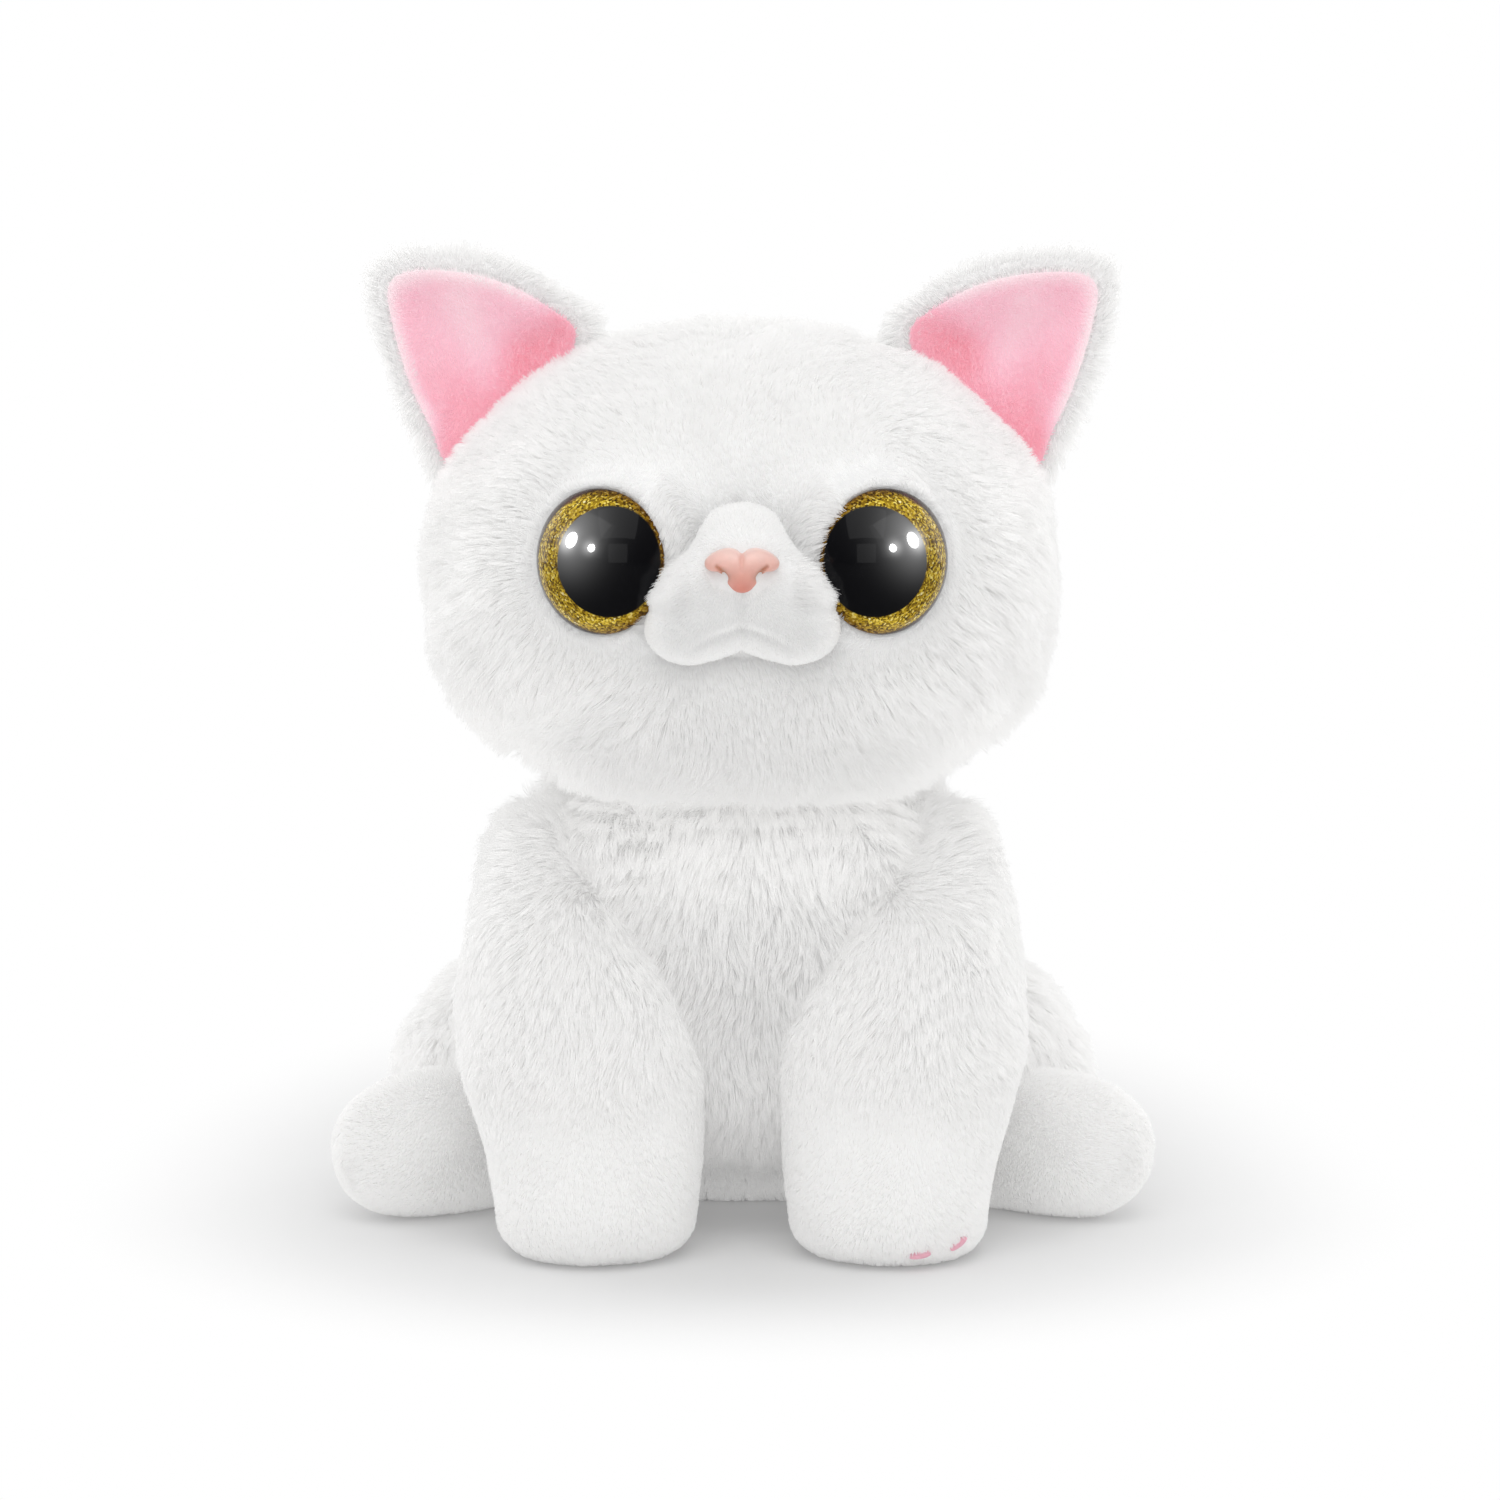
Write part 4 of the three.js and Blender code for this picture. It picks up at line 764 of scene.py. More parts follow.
inside = math_node(nt, "SUBTRACT", 1.0, math_node(nt, "MULTIPLY", math_node(nt, "SUBTRACT", pr, 0.985), 40.0, clamp=True), clamp=True)  # 1 in the pupil
rim = math_node(nt, "MULTIPLY", math_node(nt, "SUBTRACT", er, math_node(nt, "MULTIPLY_ADD", ex, 0.18, 12.75)), 1.5, clamp=True)
vo = node(nt, "ShaderNodeTexVoronoi", Scale=2.5)
nt.links.new(at.outputs["Vector"], vo.inputs["Vector"])
vo2 = node(nt, "ShaderNodeTexVoronoi", Scale=4.4)
nt.links.new(at.outputs["Vector"], vo2.inputs["Vector"])
flake = ramp(nt, vo.outputs["Color"], [(0.0, (0.03, 0.014, 0.001)), (0.25, (0.14, 0.078, 0.004)), (0.45, (0.36, 0.225, 0.010)), (0.62, (0.62, 0.42, 0.022)), (0.78, (0.90, 0.68, 0.08)), (0.9, (1.0, 0.88, 0.32)), (1.0, (1.0, 0.97, 0.75))])
# painted shade over the gold ring: darker inwards and at the dome's edge, lightest at about 0.86 of its radius
ring_shade = ramp(nt, math_node(nt, "DIVIDE", er, 13.5), [(0.0, (0.5, 0.5, 0.5)), (0.70, (0.80, 0.76, 0.66)), (0.86, (1.0, 1.0, 1.0)), (0.95, (0.55, 0.46, 0.34)), (1.0, (0.3, 0.2, 0.13))])
mx0 = nt.nodes.new("ShaderNodeMix")
mx0.data_type, mx0.blend_type = "RGBA", "MULTIPLY"
mx0.inputs["Factor"].default_value = 1.0
nt.links.new(flake, mx0.inputs["A"])
nt.links.new(ring_shade, mx0.inputs["B"])
mx1 = nt.nodes.new("ShaderNodeMix")
mx1.data_type = "RGBA"
nt.links.new(inside, mx1.inputs["Factor"])
nt.links.new(mx0.outputs["Result"], mx1.inputs["A"])
mx1.inputs["B"].default_value = (0.004, 0.004, 0.005, 1)
mx2 = nt.nodes.new("ShaderNodeMix")
mx2.data_type = "RGBA"
nt.links.new(rim, mx2.inputs["Factor"])
nt.links.new(mx1.outputs["Result"], mx2.inputs["A"])
mx2.inputs["B"].default_value = (0.035, 0.015, 0.006, 1)
nt.links.new(mx2.outputs["Result"], b.inputs["Base Color"])


def painted_highlight_spot(cx, cy, wx, wy, gain):
    """A soft painted highlight on the dome, by distance from a point across and up it."""
    dx = math_node(nt, "DIVIDE", math_node(nt, "SUBTRACT", ex, cx), wx)
    dy = math_node(nt, "DIVIDE", math_node(nt, "SUBTRACT", ey, cy), wy)
    q = math_node(nt, "ADD", math_node(nt, "MULTIPLY", dx, dx), math_node(nt, "MULTIPLY", dy, dy))
    return math_node(nt, "MULTIPLY", math_node(nt, "EXPONENT", math_node(nt, "MULTIPLY", q, -1.0)), gain)


# painted highlights: a broad painted reflection over the pupil and soft painted glows at the two catchlights, given as
# emission
glow_ = math_node(nt, "MULTIPLY", painted_highlight_spot(-2.5, 5.0, 5.6, 6.3, 0.20), inside)
glow_ = math_node(nt, "ADD", glow_, math_node(nt, "ADD", painted_highlight_spot(-3.0, 4.2, 1.7, 1.8, 0.5), painted_highlight_spot(2.0, 3.3, 1.2, 1.2, 0.3)))
b.inputs["Emission Color"].default_value = (1.0, 1.0, 1.0, 1)
nt.links.new(glow_, b.inputs["Emission Strength"])
b.inputs["Specular IOR Level"].default_value = 0.02
b.inputs["Metallic"].default_value = 0.0
b.inputs["Roughness"].default_value = 0.33
b.inputs["Coat Weight"].default_value = 1.0
b.inputs["Coat Roughness"].default_value = 0.045
b.inputs["Coat IOR"].default_value = 1.2
fl = nt.nodes.new("ShaderNodeBump")
fl.inputs["Strength"].default_value, fl.inputs["Distance"].default_value = 0.5, 0.0002
nt.links.new(math_node(nt, "MULTIPLY", vo2.outputs["Distance"], math_node(nt, "SUBTRACT", 1.0, inside)), fl.inputs["Height"])
nt.links.new(fl.outputs[0], b.inputs["Normal"])

def add_value(ob, name, values):
    at = ob.data.attributes.new(name, "FLOAT", "POINT")
    at.data.foreach_set("value", np.asarray(values, np.float32))


eyes = {}
for side, sx in (("left", 1), ("right", -1)):
    c, n, up, inward = (np.array(v) for v in eye_frames[side])
    R = (EYE["r"] ** 2 + EYE["dome"] ** 2) / (2 * EYE["dome"])
    a0 = math.asin((EYE["r"] - 0.1) / R)
    prof = [(EYE["r"] - 0.3, 1.3), (EYE["r"], 1.55), (EYE["r"], 1.9)]
    prof += [(R * math.sin(a0 * (1 - i / 30)), 1.9 + R * math.cos(a0 * (1 - i / 30)) - (R - EYE["dome"])) for i in range(1, 30)]
    nseg = 112
    ang = 2 * np.pi * np.arange(nseg) / nseg
    rings = np.array([[inward * (r * math.cos(t)) + up * (r * math.sin(t)) + n * h for t in ang] for r, h in prof])
    top = n * (1.9 + EYE["dome"])
    V, F = ring_mesh(n * 1.3, rings, top)
    L = np.c_[V @ inward, V @ up, V @ n]
    V = V + c
    eyes[side] = finish_piece("eye_domed_" + side, V, F, "head", m_eye, "eye_dome", "eye_dome_" + side)
    add_attribute(eyes[side], "eye_local", L)

# toe pads, seen at the outer edge of one forepaw, made on the left forepaw only
m_toe = cloth_material("toe_pad", (0.82, 0.40, 0.50), (0.88, 0.48, 0.57), 1200, 0.0002, rough=0.8)


def skin_patch(ob, centre, u, v, a, bb, lift, thick=0.35, n=28):
    """A small oval patch that lies on a skin."""
    me = ob.data
    P, N, T = arrays(ob)
    kd = KDTree(len(P))
    for i, p in enumerate(P):
        kd.insert(p, i)
    kd.balance()
    u, v = np.array(u, float), np.array(v, float)
    u /= np.linalg.norm(u)
    v -= u * (v @ u)
    v /= np.linalg.norm(v)
    pts, nrm = [], []
    rows = []
    for k in (0.25, 0.55, 0.8, 0.95, 1.0):
        row = []
        for t in 2 * np.pi * np.arange(n) / n:
            q = np.array(centre) + u * a * k * math.cos(t) + v * bb * k * math.sin(t)
            near = kd.find_n(q, 6)
            w = np.array([1 / (d + 0.05) for _, _, d in near])
            w /= w.sum()
            s = sum(P[i] * wi for (_, i, _), wi in zip(near, w))
            m = sum(N[i] * wi for (_, i, _), wi in zip(near, w))
            m /= np.linalg.norm(m)
            q = q - m * ((q - s) @ m)
            row.append((q, m, k))
        rows.append(row)
    top = [[q + m * (lift + thick * math.sqrt(max(0.0, 1 - k ** 4))) for q, m, k in r] for r in rows]
    bot = [[q - m * 0.5 for q, m, k in r] for r in rows[::-1]]
    q0, m0 = rows[0][0][0], rows[0][0][1]
    c_top = np.mean(top[0], axis=0)
    c_bot = np.mean(bot[-1], axis=0)
    return ring_mesh(c_top, np.array(top + bot), c_bot)


A = skin_patch(limbs["foreleg_left"], (33.2, -58.6, 3.4), (1, 0.12, 0.14), (0, 0.2, 1), 2.0, 1.05, 0.75)
B = skin_patch(limbs["foreleg_left"], (39.6, -54.6, 5.2), (1, 0.7, 0.62), (0, 0.3, 1), 1.8, 0.62, 0.75)
V, F = join_mesh([A, B])
finish_piece("toe_pads", V, F, "foreleg_left", m_toe, "pink_lining")

# ------------------------------------------------------------------ pile
def smooth(x, a, b):
    t = np.clip((x - a) / (b - a), 0, 1)
    return t * t * (3 - 2 * t)


def roots(ob, density, seed, keep=None):
    """Area-weighted points on a skin's faces, in mm, with normals. Density is in strands per square mm."""
    r = np.random.default_rng(seed)
    P, N, T = arrays(ob)
    a, b_, c = P[T[:, 0]], P[T[:, 1]], P[T[:, 2]]
    area = np.linalg.norm(np.cross(b_ - a, c - a), axis=1) / 2
    mid = (a + b_ + c) / 3
    w = area * (density(mid) if callable(density) else density)
    if keep is not None:
        w = w * keep(mid, (N[T[:, 0]] + N[T[:, 1]] + N[T[:, 2]]) / 3)
    total = w.sum() * DENSITY
    n = int(total)
    cum = np.cumsum(w) / w.sum()
    t = np.searchsorted(cum, (np.arange(n) + r.uniform(size=n)) / n)
    t = np.minimum(t, len(T) - 1)
    u, v = r.uniform(size=n), r.uniform(size=n)
    f = u + v > 1
    u[f], v[f] = 1 - u[f], 1 - v[f]
    q = T[t]
    p = P[q[:, 0]] * (1 - u - v)[:, None] + P[q[:, 1]] * u[:, None] + P[q[:, 2]] * v[:, None]
    m = N[q[:, 0]] * (1 - u - v)[:, None] + N[q[:, 1]] * u[:, None] + N[q[:, 2]] * v[:, None]
    m /= np.linalg.norm(m, axis=1)[:, None] + 1e-9
    return p, m


def unit(v):
    return v / (np.linalg.norm(v, axis=1)[:, None] + 1e-9)


def groom(name, body, P, N, comb, length, mat, seed, lean=0.6, curl=0.5, clump=0.6, clump_mm=2.2, droop=0.25, frizz=0.18, radius=0.075, K=6, tint=None, shade=None, glow=None):
    """Strands from roots P along normals N: they lean with the comb, droop a little, gather in locks and stray."""
    r = np.random.default_rng(seed)
    n = len(P)
    L = (length(P, N) if callable(length) else np.full(n, float(length))) * r.uniform(0.72, 1.12, n)
    C = comb(P, N)
    C = unit(C - N * (C * N).sum(1)[:, None])
    jitter = r.normal(size=(n, 3))
    lean_ = lean(P, N) if callable(lean) else lean
    pts = np.empty((n, K, 3))
    pts[:, 0] = P - N * 0.25
    bend = wave(P, 5.0, seed + 3, 3) * curl
    side = unit(jitter)
    d = None
    for k in range(1, K):
        s = k / (K - 1)
        le = lean_ * (0.55 + 0.6 * s)
        le = le[:, None] if hasattr(le, "shape") else le
        d = N * (1 - np.minimum(le, 0.93)) + C * le + bend * s * 0.5 + side * frizz * (0.4 + s)
        d[:, 2] -= droop * s
        d = unit(d)
        low = (d * N).sum(1)
        d += N * np.clip(0.06 - low, 0, 1)[:, None]
        pts[:, k] = pts[:, k - 1] + unit(d) * (L / (K - 1))[:, None]
    if clump > 0 and n > 50:
        area_per = 1.0
        g = r.permutation(n)[: max(8, int(n * 1.0 / max(2.0, clump_mm ** 2 * n / max(1.0, groom_area[name]))))]
        kd = KDTree(len(g))
        for j, i in enumerate(g):
            kd.insert(P[i], j)
        kd.balance()
        own = np.fromiter((kd.find(p)[1] for p in P), int, n)
        own = g[own]
        amount = clump * r.uniform(0.45, 1.0, n)
        stray = r.uniform(size=n) < 0.12
        amount[stray] *= 0.15
        for k in range(1, K):
            s = k / (K - 1)
            w = (amount * s ** 1.1)[:, None]
            rootgap = (P - P[own]) * (1 - 0.75 * s)
            pts[:, k] = pts[:, k] * (1 - w) + (pts[own, k] + rootgap) * w
    pts[..., 2] = np.maximum(pts[..., 2], 0.25)
    cu = bpy.data.hair_curves.new(name)
    cu.add_curves([K] * n)
    cu.attributes["position"].data.foreach_set("vector", (pts * MM).astype(np.float32).ravel())
    ra = cu.attributes.get("radius") or cu.attributes.new("radius", "FLOAT", "POINT")
    prof = np.array([1.0, 1.0, 0.95, 0.85, 0.66, 0.26]) if K == 6 else np.linspace(1, 0.2, K)
    rad = radius * MM * r.uniform(0.75, 1.2, n)[:, None] * prof[None]
    ra.data.foreach_set("value", rad.astype(np.float32).ravel())
    # per-strand values: the lining's pink with its painted shade, a painted glow, and painted shade
    if tint is not None:
        ta = cu.attributes.new("tint", "FLOAT", "CURVE")
        ta.data.foreach_set("value", tint(P, N).astype(np.float32))
    if glow is not None:
        ga = cu.attributes.new("glow", "FLOAT", "CURVE")
        ga.data.foreach_set("value", np.clip(glow(P, N), 0, 0.6).astype(np.float32))
    if shade is not None:
        sa = cu.attributes.new("shade", "FLOAT", "CURVE")
        sa.data.foreach_set("value", np.clip(shade(P, N), 0, 0.9).astype(np.float32))
    cu.materials.append(mat)
    ob = bpy.data.objects.new(name, cu)
    bpy.context.scene.collection.objects.link(ob)
    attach(ob, body)
    return n


groom_area = {}


def pile(name, ob, body, density, comb, length, mat, seed, keep=None, **kw):
    P, N = roots(ob, density, seed, keep)
    groom_area[name] = len(P) / max(1e-6, (density if not callable(density) else float(np.mean(density(P)))) * DENSITY)
    n = groom(name, body, P, N, comb, length, mat, seed + 100, **kw)
    print("pile", name, n)
    return n


def eye_gap(P):
    """Distance in mm outside the nearer eye's edge, and how far towards the nose side the point lies."""
    best, nose_side = np.full(len(P), 99.0), np.zeros(len(P))
    for side in ("left", "right"):
        a, b_, h = eye_coords(P, side)
        r = np.hypot(a, b_)
        use = (h > -22) & (r - EYE["r"] < best)
        nose_side = np.where(use, a / (r + 1e-6), nose_side)
        best = np.where(use, r - EYE["r"], best)
    return best, nose_side


def in_muzzle(P, d=0.0):
    """True under the muzzle pad."""
    x, z = P[:, 0], P[:, 2] - 128.5
    ang = np.arctan2(z, x)
    mx_, mz = mo[:, 0], mo[:, 1] - 128.5
    ma = np.arctan2(mz, mx_)
    o = np.argsort(ma)
    rad = np.interp(ang, ma[o], np.hypot(mx_, mz)[o], period=2 * np.pi)
    return (np.hypot(x, z) < rad + d) & (P[:, 1] < -40)


def head_length(P, N):
    g, ns = eye_gap(P)
    L = 5.2 + 2.6 * smooth(np.abs(P[:, 0]), 18, 50) * smooth(-P[:, 2], -150, -120)
    L -= 1.6 * smooth(P[:, 2], 138, 160)
    L *= 0.34 + 0.66 * smooth(g, 0.5, 13)
    mdist = np.hypot(P[:, 0], (P[:, 2] - 128) / 1.15)
    L *= np.where(P[:, 1] < -40, 0.42 + 0.58 * smooth(mdist, 15, 30), 1)
    L *= np.where((P[:, 1] < -20) & (P[:, 2] > 140) & (np.abs(P[:, 0]) < 30), 0.75, 1)
    low = smooth(-P[:, 2], -110, -96) * smooth(np.abs(P[:, 0]), 20, 42)
    L *= 1 - 0.22 * low
    lap = smooth(ns, 0.45, 0.75) * (1 - smooth(g, 4.5, 8.0)) * (P[:, 1] < -40)
    L = L * (1 - lap) + 3.3 * lap
    L += 2.2 * smooth(-P[:, 2], -99, -91) * (1 - smooth(np.abs(P[:, 0]), 24, 40))
    return L


def head_lean(P, N):
    g, ns = eye_gap(P)
    by_ear = np.exp(-((P[:, 1] + 13) / 6.0) ** 2) * smooth(np.abs(P[:, 0]), 24, 32) * smooth(P[:, 2], 138, 146)
    return (0.55 + 0.3 * (1 - smooth(g, 0, 10))) * (1 - 0.75 * by_ear)


def head_flow(P, N):
    """Pile parts over the nose and runs up the forehead, out over the cheeks and down to the chin."""
    c = np.zeros_like(P)
    x, z = P[:, 0], P[:, 2]
    front = smooth(-P[:, 1], 5, 30)
    radial = np.c_[x, np.zeros(len(P)), z - 132.0]
    radial = unit(radial)
    c += radial * (1.0 * front)[:, None]
    c[:, 0] += np.sign(x) * 0.5 * smooth(np.abs(x), 5, 30)
    c[:, 1] += 0.45
    c[:, 2] -= 0.65 * smooth(-z, -150, -115) + 0.15
    up = smooth(z, 138, 150) * front
    c[:, 2] += 0.25 * up
    c[:, 1] += (1 - front) * 0.3
    c[:, 2] -= (1 - front) * 0.5
    # beside each eye the pile lies outwards, but on the nose side it lies over the rim
    for side in ("left", "right"):
        cc, nn, up_, inw = (np.array(v) for v in eye_frames[side])
        a, b_, h = eye_coords(P, side)
        r = np.hypot(a, b_) + 1e-6
        w = np.where(h > -20, 1 - smooth(r, 15, 24), 0)[:, None]
        out = inw * (a / r)[:, None] + up_ * (b_ / r)[:, None]
        sgn = np.where((a / r) > 0.55, -0.8, 0.55)[:, None]
        c = c * (1 - w) + (out * sgn + np.array([0, 0, -0.15])) * w
    return c + wave(P, 12, 205, 3) * 0.28


def head_keep(P, N):
    g, ns = eye_gap(P)
    ok = (g > 0.1) & ~in_muzzle(P, -1.2) & ((P[:, 2] > 90.0) | (np.hypot(P[:, 0], P[:, 1] + 3) > 20))
    ok &= np.isin(np.arange(len(P)), np.arange(len(P)))
    inner = np.abs((np.abs(P[:, 0]) / 57)) < 2
    return ok & inner


def outside_head(P, N):
    """Keeps roots on the outer wall of the head skin."""
    T = hermite([list(r[:4]) for r in HEAD], 90)
    z = P[:, 2]
    w, yf, yb = (np.interp(z, T[:, 0], T[:, i]) for i in (1, 2, 3))
    q = (np.abs(P[:, 0]) / w) ** 2.25 + (np.abs(P[:, 1] - (yf + yb) / 2) / ((yb - yf) / 2)) ** 2.25
    g, _ = eye_gap(P)
    return (q > 0.968) | (g < 9) | (z > 168)


def outside_torso(P, N):
    T = hermite([list(r[:4]) for r in TORSO], 90)
    z = P[:, 2]
    w, yf, yb = (np.interp(z, T[:, 0], T[:, i]) for i in (1, 2, 3))
    q = (np.abs(P[:, 0]) / w) ** 2.2 + (np.abs(P[:, 1] - (yf + yb) / 2) / ((yb - yf) / 2)) ** 2.2
    return (q > 0.955) & (z > 0.8) & (z < 83.6)


def hidden_by_legs(P):
    m = np.zeros(len(P), bool)
    for sx in (1, -1):
        m |= inside_pile(P, FORELEG, 2.1, -1.0, sx) | inside_limb(P, FOOT, -1.0, sx)
    return m


def muzzle_edge(P):
    """Distance in mm outside the muzzle pad's outline, seen from the front."""
    x, z = P[:, 0], P[:, 2] - 128.5
    ma = np.arctan2(mo[:, 1] - 128.5, mo[:, 0])
    o = np.argsort(ma)
    rad = np.interp(np.arctan2(z, x), ma[o], np.hypot(mo[:, 0], mo[:, 1] - 128.5)[o], period=2 * np.pi)
    return np.hypot(x, z) - rad


# painted shade: darkens the pile round the muzzle pad (more below it), close round the eyes and under the chin
def head_shade(P, N):
    front = smooth(-P[:, 1], 25, 45)
    m = muzzle_edge(P)
    below = smooth(-P[:, 2], -128, -116)
    s = front * np.exp(-np.clip(m, 0, None) / 3.0) * (0.11 + 0.05 * below)
    g, _ = eye_gap(P)
    s += 0.06 * np.exp(-np.clip(g, 0, None) / 2.0) * (P[:, 1] < -20)
    s += 0.06 * front * smooth(-P[:, 2], -112, -96) * (1 - smooth(np.abs(P[:, 0]), 22, 44))
    return s


def torso_length(P, N):
    L = 5.6 + 3.6 * smooth(P[:, 2], 66, 78)
    return L * (1 - 0.66 * smooth(-P[:, 2], -18, -15))


# painted shade under the belly's front and down the middle of the chest
def torso_shade(P, N):
    under = smooth(-P[:, 2], -20, -15) * smooth(-P[:, 1], -8, 4)
    mid = 1 - smooth(np.abs(P[:, 0]), 22, 40)
    return 0.03 * under + 0.05 * mid * smooth(-P[:, 1], 6, 24) * smooth(-P[:, 2], -74, -46)


def torso_glow(P, N):
    """Painted glow: emission that lightens the upper chest between the chin and the forelegs, and the belly's
    underside, in place of light scattered there.
    """
    mid = 1 - smooth(np.abs(P[:, 0]), 26, 46)
    front = smooth(-P[:, 1], 6, 24)
    under = smooth(-P[:, 2], -17, -12) * smooth(-P[:, 1], -8, 4)
    return front * mid * 0.03 * smooth(P[:, 2], 62, 86) + under * (0.02 + 0.025 * smooth(-P[:, 2], -12, -2))


def muzzle_shade(P, N):
    """Painted shade on the pad's front-facing surface, more on its lower part, so that the rim reads lighter."""
    face = smooth(-N[:, 1], 0.35, 0.95)
    low = smooth(-P[:, 2], -139, -129)
    return face * (0.03 + 0.07 * low)


total = 0
# head pile: painted shade from the head's shade rule and a painted glow low on the front of the head
total += pile("head_pile", head, "head", 9.0, head_flow, head_length, h_white, 301,
              keep=lambda P, N: head_keep(P, N) & outside_head(P, N), lean=head_lean, clump=0.68, clump_mm=1.6, droop=0.2, frizz=0.09, radius=0.062, shade=head_shade, glow=lambda P, N: 0.022 * smooth(-P[:, 2], -112, -94) * smooth(-P[:, 1], 0, 25))
total += pile("torso_pile", torso, "torso", 7.0, torso_comb, torso_length, h_white, 311,
              keep=lambda P, N: outside_torso(P, N) & ~hidden_by_legs(P) & ~(inside_pile(P, HAUNCH, 2.05, -1, 1) | inside_pile(P, HAUNCH, 2.05, -1, -1)),
              lean=0.6, clump=0.76, clump_mm=1.7, droop=0.28, frizz=0.09, radius=0.062, shade=torso_shade, glow=torso_glow)


def leg_length(P, N):
    return 1.5 + 3.4 * smooth(P[:, 2], 20, 46) + 1.6 * smooth(P[:, 2], 64, 75) * smooth(np.abs(P[:, 0]), 34, 42)


def ear_k(P):
    """Fraction of the way from an ear's centre to its outline, 1 on the outline."""
    x, z = np.abs(P[:, 0]) - EARC[0], P[:, 2] - EARC[1]
    ex_, ez_ = ear_out[:, 0] - EARC[0], ear_out[:, 1] - EARC[1]
    ea = np.arctan2(ez_, ex_)
    o = np.argsort(ea)
    rad = np.interp(np.arctan2(z, x), ea[o], np.hypot(ex_, ez_)[o], period=2 * np.pi)
    return np.hypot(x, z) / rad


def ear_flow(P, N):
    s = np.sign(P[:, 0])
    out = unit(np.c_[(np.abs(P[:, 0]) - EARC[0]) * s, np.zeros(len(P)), P[:, 2] - EARC[1]])
    k = ear_k(P)
    inward = (N[:, 1] < -0.2) & (k < 0.93)
    c = out * np.where(inward, -1.0, 1.0)[:, None]
    c[:, 2] += 0.25
    return c + wave(P, 9, 77, 3) * 0.3


def ear_length(P, N):
    k = ear_k(P)
    front = N[:, 1] < -0.2
    return np.where(front, 2.7 + 0.9 * smooth(k, 0.93, 1.0), 3.7 + 0.7 * smooth(k, 0.75, 1.0))


for side, sx in (("left", 1), ("right", -1)):
    total += pile("foreleg_pile_" + side, limbs["foreleg_" + side], "foreleg_" + side, lambda P: 8.0 + 5.0 * smooth(-P[:, 2], -40, -20), leg_comb, leg_length, h_white, 321,
                  keep=lambda P, N: ~inside_pile(P, TORSO, 2.2, -4.0) & (P[:, 2] > 0.6), lean=lambda P, N: 0.72 - 0.25 * smooth(-P[:, 2], -30, -18), clump=0.62, clump_mm=1.5, droop=0.28, frizz=0.09, radius=0.06)
    total += pile("haunch_pile_" + side, limbs["haunch_" + side], "torso", 7.5, haunch_comb, lambda P, N: 6.2 - 3.0 * smooth(-P[:, 2], -18, -4), h_white, 331,
                  keep=lambda P, N: ~inside_pile(P, TORSO, 2.2, -3.0) & ~inside_pile(P, FORELEG, 2.1, -1, 1) & ~inside_pile(P, FORELEG, 2.1, -1, -1) & (P[:, 2] > 1.5), lean=0.6, clump=0.76, clump_mm=1.7, droop=0.22, frizz=0.09, radius=0.062)
    # hind-foot pile: a painted glow low on the feet
    total += pile("foot_pile_" + side, limbs["foot_" + side], "hind_foot_" + side, 10.0, foot_comb, lambda P, N: np.full(len(P), 1.7), h_short, 341,
                  keep=lambda P, N: (P[:, 2] > 1.0) & (np.abs(P[:, 0]) > 40), lean=0.5, clump=0.3, clump_mm=1.2, droop=0.1, frizz=0.15,
                  glow=lambda P, N: 0.018 * smooth(-P[:, 2], -14, -2))
    total += pile("ear_back_pile_" + side, ears["back_" + side], "ear_" + side, lambda P: np.full(len(P), 9.0), ear_flow, ear_length, h_white, 351,
                  keep=lambda P, N: ~inside_pile(P, HEAD, 2.25, -2.0) & ~((ear_k(P) < 0.84) & (N[:, 1] < -0.2)), lean=0.55, clump=0.82, clump_mm=1.5, droop=0.05, frizz=0.07, radius=0.066)
def lining_pink_and_shade(P):
    """0 at the pale seam, about 0.5 over most of the lining, 1 in the fold by the head: the lining's pink, deepened by
    painted shade towards the head and lower down, most in the fold, and eased along one band.
    """
    x, z = np.abs(P[:, 0]), P[:, 2]
    k = ear_k(P) / 0.86
    u = 0.752 * (x - 33.6) + 0.659 * (z - 173.3)
    # painted shade: the pink deepens towards the head and in the fold, less along one band
    deep = 0.36 * (1 - smooth(u, 0, 10))
    deep += 0.26 * np.exp(-((x - 42) ** 2 + (z - 168.5) ** 2) / 26.0) + 0.14 * np.exp(-((x - 56) ** 2 / 22.0 + (z - 158) ** 2 / 60.0))
    t = np.clip(((x - 54.6) * -6.0 + (z - 179) * -16.0) / 292.0, 0, 1)
    band = np.hypot(x - (54.6 - 6.0 * t), z - (179 - 16.0 * t))
    deep -= 0.13 * np.exp(-(band / 3.2) ** 2)
    pale = smooth(k, 0.74, 1.0) * smooth(u, 3, 12)
    return np.clip((0.42 + 0.1 * smooth(-z, -180, -160) + deep) * (1 - 0.9 * pale) + wave(P, 5, 88) * 0.05, 0, 1)


PINKS = [(0.0, (0.99, 0.90, 0.92)), (0.42, (0.98, 0.74, 0.81)), (0.7, (0.97, 0.65, 0.73)), (1.0, (0.95, 0.54, 0.62))]
h_pink = hair_material("pink_fibre", (0.95, 0.52, 0.63), (0.99, 0.68, 0.76), translucent=0.25)
nt = h_pink.node_tree
at = nt.nodes.new("ShaderNodeAttribute")
at.attribute_name = "tint"
pinks = ramp(nt, at.outputs["Fac"], PINKS)
for n in list(nt.nodes):
    if n.type in ("BSDF_DIFFUSE", "BSDF_TRANSLUCENT", "EMISSION"):
        nt.links.new(pinks, n.inputs["Color"])
    # painted glow: the pink fibres emit a little more than the white ones
    if n.type == "MATH" and n.operation == "ADD":
        n.inputs[1].default_value = PAINTED_GLOW + 0.035
nt = m_pinkbase.node_tree
at = nt.nodes.new("ShaderNodeAttribute")
at.attribute_name = "tint"
pinks = ramp(nt, at.outputs["Fac"], PINKS)
b = [n for n in nt.nodes if n.type == "BSDF_PRINCIPLED"][0]
